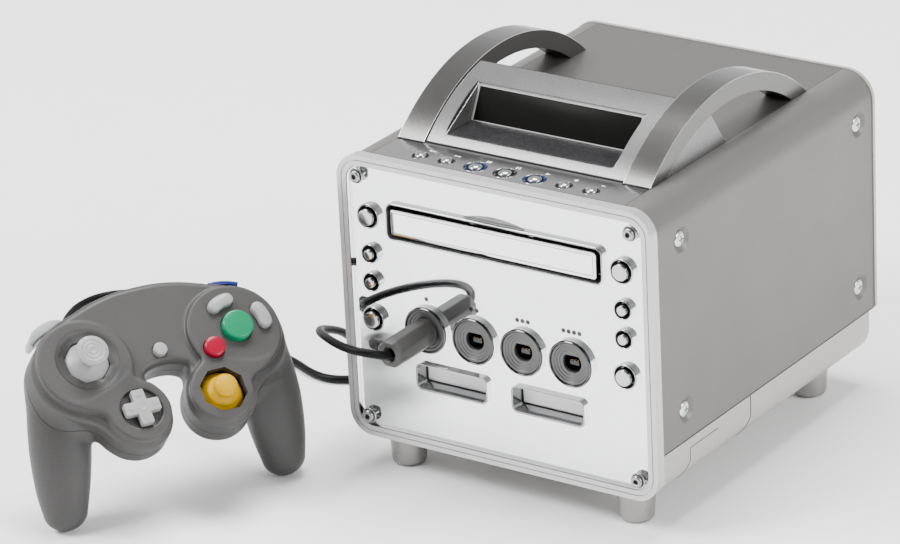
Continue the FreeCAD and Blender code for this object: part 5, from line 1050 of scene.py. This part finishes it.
def kidney_pts(cx, cy, r, a0, a1, w, n=14):
    a0, a1 = math.radians(a0), math.radians(a1)
    out = [(cx + (r + w / 2) * math.cos(a0 + (a1 - a0) * k / n), cy + (r + w / 2) * math.sin(a0 + (a1 - a0) * k / n)) for k in range(n + 1)]
    ex_, ey_ = cx + r * math.cos(a1), cy + r * math.sin(a1)
    out += [(ex_ + w / 2 * math.cos(a1 + math.pi * k / 10), ey_ + w / 2 * math.sin(a1 + math.pi * k / 10)) for k in range(1, 10)]
    out += [(cx + (r - w / 2) * math.cos(a1 + (a0 - a1) * k / n), cy + (r - w / 2) * math.sin(a1 + (a0 - a1) * k / n)) for k in range(n + 1)]
    ex_, ey_ = cx + r * math.cos(a0), cy + r * math.sin(a0)
    out += [(ex_ + w / 2 * math.cos(a0 + math.pi + math.pi * k / 10), ey_ + w / 2 * math.sin(a0 + math.pi + math.pi * k / 10)) for k in range(1, 10)]
    return out


PT = padT()
oct_small = [(22.6 + x, -29.6 + y) for x, y in regular(8, 12.0, 22.5)]
cutters = [raw_prism("c1", [(41 + x, 0.4 + y) for x, y in regular(72, 8.15)], -9.4, 3, PT), raw_prism("c2", [(25.8 + x, -7.6 + y) for x, y in regular(60, 5.65)], -9.4, 3, PT),
           raw_prism("c3", [(x, -0.8 + y) for x, y in regular(48, 3.9)], -8.5, 3, PT), raw_prism("c4", kidney_pts(41, 0.4, 14.8, -4, 26, 7.3), -9.4, 3, PT),
           raw_prism("c5", kidney_pts(41, 0.4, 14.8, 91, 121, 7.3), -9.4, 3, PT), raw_prism("c6", oct_small, -9.5, 3, PT),
           raw_prism("c7", [(-21 + x, -29.2 + y) for x, y in regular(40, 3.8)], -9.0, 3, PT)]
boolean(up_, join_raw(cutters))
sharp(up_, 40)
sharp(low_, 40)

# main stick's gate: dished ring from a round rim down to an octagon
gate = []
n = 128


def octr(a, R):
    t = (math.degrees(a) - 22.5) % 45.0
    return R * math.cos(math.radians(22.5)) / math.cos(math.radians(t - 22.5))


for f_, R0, w in ((0.0, 15.95, -3.6), (0.0, 15.95, -0.35), (0.0, 15.8, -0.12), (0.0, 15.55, -0.16), (0.10, 15.0, -0.45), (0.30, 14.2, -1.0), (0.6, 13.2, -1.6), (0.85, 12.4, -2.0), (1.0, 11.9, -2.15), (1.0, 11.62, -2.25), (1.0, 11.5, -2.4), (1.0, 11.5, -2.62), (0.8, 12.9, -3.3), (0.4, 14.4, -4.2)):
    ring_ = []
    for k in range(n):
        a = 2 * math.pi * k / n
        r = (1 - f_) * R0 + f_ * octr(a, R0)
        ring_.append((-37.6 + r * math.cos(a), 2.0 + r * math.sin(a), w))
    gate.append(ring_)
skin("stick_gate", gate, "pad_shell", "gamepad", PT, close=True, sh=50)


def ball_pts(R, piv, angs):
    return [(R * math.sin(math.radians(a)), piv + R * math.cos(math.radians(a))) for a in angs]


# main stick: ridged cap, waisted neck, domed skirt, stem with its ball
cap = [(0, 10.75), (1.2, 10.75), (1.55, 10.95), (1.9, 11.0), (2.25, 10.95), (2.6, 10.72), (3.2, 10.72), (3.55, 10.95), (3.9, 11.0), (4.25, 10.95), (4.6, 10.72), (5.2, 10.72), (5.55, 10.98), (5.95, 11.05), (6.35, 10.98), (6.65, 10.75), (7.0, 10.78), (7.4, 10.72), (7.75, 10.45), (7.95, 10.05), (8.0, 9.6), (7.95, 9.15), (7.7, 8.75), (7.3, 8.45), (6.9, 8.1), (6.5, 7.5), (6.05, 6.6), (5.6, 5.4), (5.15, 4.0), (4.7, 2.7), (4.3, 1.7), (4.2, 1.2)]
prof = cap + ball_pts(14.6, -13.0, (17, 20, 24, 28, 32, 36, 40, 45, 50, 55, 60, 65)) + ball_pts(13.2, -13.0, (65, 55, 45, 35, 25, 15)) + [(2.2, -1.2), (2.2, -14.5), (0, -14.5)]
o = lathe("main_stick_grip", prof, "pad_key", "main_stick", padT(-37.6, 2.0, 0), segs=112, sh=45)
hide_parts("main_stick")
# small stick: round nub on a wide dome
prof = [(0, 7.4), (1.6, 7.38), (3.0, 7.2), (4.1, 6.8), (5.0, 6.15), (5.6, 5.3), (5.9, 4.4), (5.9, 3.5), (5.65, 2.6), (5.4, 1.9), (5.3, 1.2), (5.5, 0.5), (5.9, -0.1), (6.5, -0.75), (7.3, -1.5), (8.2, -2.35)] + ball_pts(13.2, -13.0, (39, 42, 45, 51, 57, 62, 67)) + ball_pts(12.0, -13.0, (67, 55, 45, 35, 25, 15)) + [(2.2, -1.8), (2.2, -14.5), (0, -14.5)]
o = lathe("small_stick_grip", prof, "pad_yellow", "small_stick", padT(22.6, -29.6, 0), segs=112, sh=50)
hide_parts("small_stick")

# direction pad: cross with soft edges, four raised arrows, dished middle
a_, b_ = 3.3, 9.2
cross = []
c_ = 0.9


def arc_corner(cx, cy, a0, a1, r, n=5):
    return [(cx + r * math.cos(math.radians(a0 + (a1 - a0) * k / n)), cy + r * math.sin(math.radians(a0 + (a1 - a0) * k / n))) for k in range(n + 1)]


for q in range(4):
    t = math.radians(90 * q)
    arm = arc_corner(b_ - c_, -a_ + c_, -90, 0, c_) + arc_corner(b_ - c_, a_ - c_, 0, 90, c_) + arc_corner(a_ + 0.5, a_ + 0.5, 270, 180, 0.5, 3)
    cross += [(x * math.cos(t) - y * math.sin(t), x * math.sin(t) + y * math.cos(t)) for x, y in arm]
DT = padT(-21.0, -29.2, 0)
o = plate("cross_key", cross, -1.2, 2.4, "pad_key", "direction_pad", DT, round_top=0.55, n=5, sh=60)
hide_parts("direction_pad")
for q in range(4):
    t = math.radians(90 * q)
    tri_ = [(7.9, 0.0), (5.4, 1.45), (5.4, -1.45)]
    plate("cross_arrow_%d" % q, [(x * math.cos(t) - y * math.sin(t), x * math.sin(t) + y * math.cos(t)) for x, y in tri_], 2.3, 2.72, "pad_key", "direction_pad", DT, round_top=0.2, n=3)
lathe("cross_dish", rounded([(0, 2.44), (1.3, 2.46), (1.9, 2.60), (2.2, 2.66), (2.45, 2.55), (2.5, 2.3), (0, 2.3)], 0.08, 3), "pad_key", "direction_pad", DT, segs=48)
lathe("cross_post", [(0, -1.0), (2.9, -1.0), (2.9, -1.6), (3.28, -2.6), (3.28, -3.4), (2.9, -4.4), (2.9, -9.0), (0, -9.0)], "pad_key", "direction_pad", DT, segs=40)

# face keys
def round_key(name, node_, r, top_, crown, mat, x, y, low=-6.0, edge=0.9):
    pr = [(0, top_ + crown)] + [(r * f, top_ + crown * (1 - (f / 0.9) ** 2)) for f in (0.2, 0.4, 0.6, 0.75)]
    pr += [(r - edge + edge * math.sin(math.radians(a)), top_ - edge + edge * math.cos(math.radians(a))) for a in range(0, 91, 10)] + [(r, -1.5), (r, low), (0, low)]
    o = lathe(name, pr, mat, node_, padT(x, y, 0), segs=96, sh=45)
    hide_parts(node_)
    return o


round_key("key_a", "a_button", 7.8, 4.05, 0.35, "pad_green", 41.0, 0.4, edge=1.15)
round_key("key_b", "b_button", 5.3, 3.15, 0.25, "pad_red", 25.8, -7.6, edge=0.95)
round_key("key_start", "start_button", 3.5, -0.75, 0.12, "pad_key", 0.0, -0.8, low=-7.5, edge=0.8)
for nm, a0, a1 in (("x", -4, 26), ("y", 91, 121)):
    o = plate("key_" + nm, kidney_pts(41, 0.4, 14.8, a0, a1, 6.6), -6.0, 3.2, "pad_key", nm + "_button", PT, round_top=1.35, n=7, crown=0.4, sh=60)
    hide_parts(nm + "_button")


def sector_pts(sx, r0, r1, a0, a1, n=16):
    P_ = lambda r, a: (sx * (39.7 + r * math.cos(math.radians(a))), r * math.sin(math.radians(a)))
    out = [P_(r1, a0 + (a1 - a0) * k / n) for k in range(n + 1)] + [P_(r0, a1 + (a0 - a1) * k / n) for k in range(n + 1)]
    return out if sx > 0 else out[::-1]


o = plate("shoulder_key", sector_pts(1, 26.8, 29.3, 62.5, 93.5), -12.1, -5.5, "pad_blue", "shoulder_button", PT, round_top=0.9, round_low=0.6, n=5, sh=60)
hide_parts("shoulder_button")
for sx, nm in ((-1, "left"), (1, "right")):
    P_ = lambda a, r: (sx * (39.7 + r * math.cos(math.radians(a))), r * math.sin(math.radians(a)))
    prof_o = [(51.3, 29.2), (54, 30.4), (57, 31.3), (62, 32.2), (67, 32.65), (73, 32.95), (79, 33.0), (84, 32.85), (89, 32.4), (92.5, 31.7), (94.8, 30.6)]
    out = [P_(a, r) for a, r in prof_o] + [P_(94.8 - (94.8 - 51.3) * k / 12, 27.1) for k in range(13)]
    if sx < 0:
        out = out[::-1]
    o = plate("trigger_" + nm, out, -23.5, -13.55, "pad_trigger", nm + "_trigger", PT, round_top=1.2, round_low=0.8, n=5, sh=60)
    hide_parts(nm + "_trigger")
    tube_path("trigger_barrel_" + nm, [(sx * 38.5, 30.0, -23.6), (sx * 51.3, 30.0, -23.6)], 1.28, "pad_trigger", nm + "_trigger", PT)

# back screws and the cord's ribbed gland
for i, (x, y) in enumerate([(-34.0, 8.0), (34.0, 8.0), (0.0, 2.0), (-22.0, -32.0), (22.0, -32.0), (0.0, 31.5)]):
    T = lambda u, v, w, x=x, y=y: PL(x + u, y - v, -24.0 - w)
    lathe("back_boss_%d" % i, rounded([(2.3, -0.6), (2.3, 0.0), (2.75, 0.22), (3.3, 0.18), (3.6, -0.1), (3.7, -0.6)], 0.1, 3), "pad_shell", "gamepad", T, segs=40, close=True)
    lathe("back_screw_%d" % i, [(0, -0.12), (0.5, -0.12), (0.55, 0.02), (1.7, 0.0), (2.0, -0.12), (2.05, -0.5), (0, -0.5)], "steel", "gamepad", T, segs=36)
pr = [(0, -19.0), (4.6, -19.0), (4.6, -24.4)]
z_ = -24.6
for k in range(6):
    r = 4.35 - 0.2 * k
    pr += [(r, z_), (r, z_ - 1.0), (r - 0.55, z_ - 1.25), (r - 0.55, z_ - 1.85)]
    z_ -= 2.1
pr += [(2.95, -37.6), (2.75, -38.0), (0, -38.0)]
lathe("cord_gland", pr, "cord_rubber", "gamepad", padT(0, 24.0, 0), segs=40, sh=30)

# ---------------------------------------------------------------- plug: octagonal grip with soft corners, shank, collar
def oct_ring(r, y, turn=22.5):
    return [(-42.0 + r * math.cos(math.radians(turn + 45 * k)), y, 81.3 + r * math.sin(math.radians(turn + 45 * k))) for k in range(8)]


def soft_oct(r, y, c=0.8):
    """octagon with rounded corners"""
    P_ = [(r * math.cos(math.radians(22.5 + 45 * k)), r * math.sin(math.radians(22.5 + 45 * k))) for k in range(8)]
    out = []
    for k in range(8):
        p, q, s2 = Vector(P_[k - 1]), Vector(P_[k]), Vector(P_[(k + 1) % 8])
        a, b = q + (p - q).normalized() * c, q + (s2 - q).normalized() * c
        for t in (0, 0.25, 0.5, 0.75, 1):
            m_ = a * (1 - t) ** 2 + q * 2 * t * (1 - t) + b * t * t
            out.append((-42.0 + m_.x, y, 81.3 + m_.y))
    return out


seq = [(3.3, -24.0), (3.4, -29.6), (3.75, -30.5), (4.3, -30.95), (5.6, -31.0), (6.5, -30.75), (7.1, -30.2), (7.4, -29.2), (7.45, -26.0), (7.5, -8.0), (7.45, -2.6), (7.0, -2.4), (7.0, -1.9), (7.45, -1.75), (7.45, 0.5)]
loops = []
for r, y in seq:
    loops.append(soft_oct(r, y, 0.8 if r > 5 else r * 0.35))
o = skin("plug_grip", loops, "plug_rubber", "gamepad_plug", lambda x, y, z: W(x, y, z), sh=32) if "gamepad_plug" in frame["bodies"] else skin("plug_grip", loops, "plug_rubber", "gamepad", lambda x, y, z: W(x, y, z), sh=32)
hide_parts("gamepad_plug")
plug_o = o
lathe("plug_shank", rounded([(0, -10.6), (4.3, -10.6), (4.6, -10.2), (4.6, -0.4), (0, -0.4)], 0.15, 3), "dark", "gamepad", front(-42.0, 81.9, 0.0), segs=48)
lathe("plug_collar", rounded([(3.35, 23.6), (3.3, 28.6), (3.0, 28.9), (2.3, 28.7), (2.12, 28.3), (2.12, 23.6)], 0.15, 3), "dark", "gamepad", front(-42.0, 81.3, 0.0), segs=40, close=True)

# straps around the cord's coil
for i, a in enumerate((60.0, 190.0)):
    ca, sa = math.cos(math.radians(a)), math.sin(math.radians(a))
    sec = rrect(15.2, 18.0, 3.0, 6)
    loops = []
    for t in (-2.6, 2.6):
        for d in (0.0,):
            loops.append([(-124.0 + (23.0 + u) * ca - t * sa, 127.0 + (23.0 + u) * sa + t * ca, 9.05 + v) for u, v in sec])
    inner_ = offset2(sec, 0.5)
    lin = [[(-124.0 + (23.0 + u) * ca - t * sa, 127.0 + (23.0 + u) * sa + t * ca, 9.05 + v) for u, v in inner_] for t in (2.6, -2.6)]
    skin("coil_strap_%d" % i, loops + lin, "plug_rubber", "gamepad", W, close=True, sh=30)


# joints of the base's front part and its snap-in covers, running round the lower edge
def tub_path(y, z_top, z_end, sx):
    """points down the side of the base and round its lower corner"""
    X, zb, r = 89.1, 18.0, 13.0
    out = [(sx * X, y(z_top), z_top), (sx * X, y(zb + r), zb + r)]
    for k in range(1, 9):
        a = math.radians(8.5 * k)
        out.append((sx * (X - r + r * math.cos(a)), y(zb + r - r * math.sin(a)), zb + r - r * math.sin(a)))
    return [p for p in out if p[2] >= z_end]


for sx, nm in ((-1, "left"), (1, "right")):
    tube_path("base_joint_%s_a" % nm, tub_path(lambda z: 87.6 - max(0, 30 - z) * 0.55, 40.6, 18.4, sx), 0.24, "dark", "console", W, segs=10)
    tube_path("base_joint_%s_b" % nm, tub_path(lambda z: 31.0 - max(0, 29 - z) * 0.5, 35.7, 18.4, sx), 0.20, "dark", "console", W, segs=10)
    tube_path("base_joint_%s_c" % nm, [(sx * 89.1, 31.0, 35.7), (sx * 89.1, 56.3, 35.7)], 0.20, "dark", "console", W, segs=10)
    tube_path("base_joint_%s_d" % nm, [(sx * 89.1, 6.6, 41.0), (sx * 89.1, 209.8, 41.0)], 0.26, "dark", "console", W, segs=10)
# ---------------------------------------------------------------- floor and light
me = bpy.data.meshes.new("table_top")
bm = bmesh.new()
bmesh.ops.create_grid(bm, x_segments=8, y_segments=8, size=6.0)
bm.to_mesh(me); bm.free()
fl = bpy.data.objects.new("table_top", me)
bpy.context.scene.collection.objects.link(fl)
fl.location = (0, 0, -0.0001)
me.materials.append(MATS["floor_white"])

world = bpy.data.worlds.new("studio")
bpy.context.scene.world = world
world.use_nodes = True
wn = world.node_tree
bg = wn.nodes["Background"]
tc = wn.nodes.new("ShaderNodeTexCoord")
sx = wn.nodes.new("ShaderNodeSeparateXYZ")
wn.links.new(tc.outputs["Generated"], sx.inputs[0])
# brightness falls from the horizon to overhead, and is lower towards the front right of the room
rp = wn.nodes.new("ShaderNodeValToRGB")
els = rp.color_ramp.elements
els[0].position, els[0].color = 0.0, (1.0, 1.0, 1.0, 1)
els[1].position, els[1].color = 1.0, (0.22, 0.22, 0.225, 1)
for pos, v in ((0.50, 1.0), (0.66, 0.95), (0.78, 0.60), (0.90, 0.30)):
    e = els.new(pos)
    e.color = (v, v, v * 1.01, 1)
mr = wn.nodes.new("ShaderNodeMapRange")
mr.inputs[1].default_value, mr.inputs[2].default_value = -1, 1
wn.links.new(sx.outputs[2], mr.inputs[0])
wn.links.new(mr.outputs[0], rp.inputs[0])
dv = wn.nodes.new("ShaderNodeVectorMath")
dv.operation = "DOT_PRODUCT"
dv.inputs[1].default_value = (0.52, -0.80, 0.30)
wn.links.new(tc.outputs["Generated"], dv.inputs[0])
dm_ = wn.nodes.new("ShaderNodeMapRange")
dm_.interpolation_type = "SMOOTHSTEP"
dm_.inputs[1].default_value, dm_.inputs[2].default_value, dm_.inputs[3].default_value, dm_.inputs[4].default_value = 0.62, 0.90, 1.0, 0.22
wn.links.new(dv.outputs["Value"], dm_.inputs[0])
mu = wn.nodes.new("ShaderNodeMix")
mu.data_type, mu.blend_type = "RGBA", "MULTIPLY"
mu.inputs[0].default_value = 1.0
wn.links.new(rp.outputs[0], mu.inputs[6])
wn.links.new(dm_.outputs[0], mu.inputs[7])
wn.links.new(mu.outputs[2], bg.inputs[0])
bg.inputs[1].default_value = 1.35


def area(name, loc, target, size, power, col=(1, 1, 1)):
    l = bpy.data.lights.new(name, "AREA")
    l.shape = "RECTANGLE"
    l.size, l.size_y = size
    l.energy = power
    l.color = col
    o = bpy.data.objects.new(name, l)
    bpy.context.scene.collection.objects.link(o)
    o.location = loc
    d = Vector(target) - Vector(loc)
    o.rotation_euler = d.to_track_quat("-Z", "Y").to_euler()
    return o


area("key_light", (-1.45, -1.45, 2.30), (0, 0, 0.08), (1.3, 1.1), 135)
area("fill_light", (2.3, 0.1, 1.3), (0, 0, 0.08), (1.4, 1.2), 55)
area("top_light", (-0.15, 0.55, 2.6), (0, 0, 0.1), (1.4, 1.2), 115)
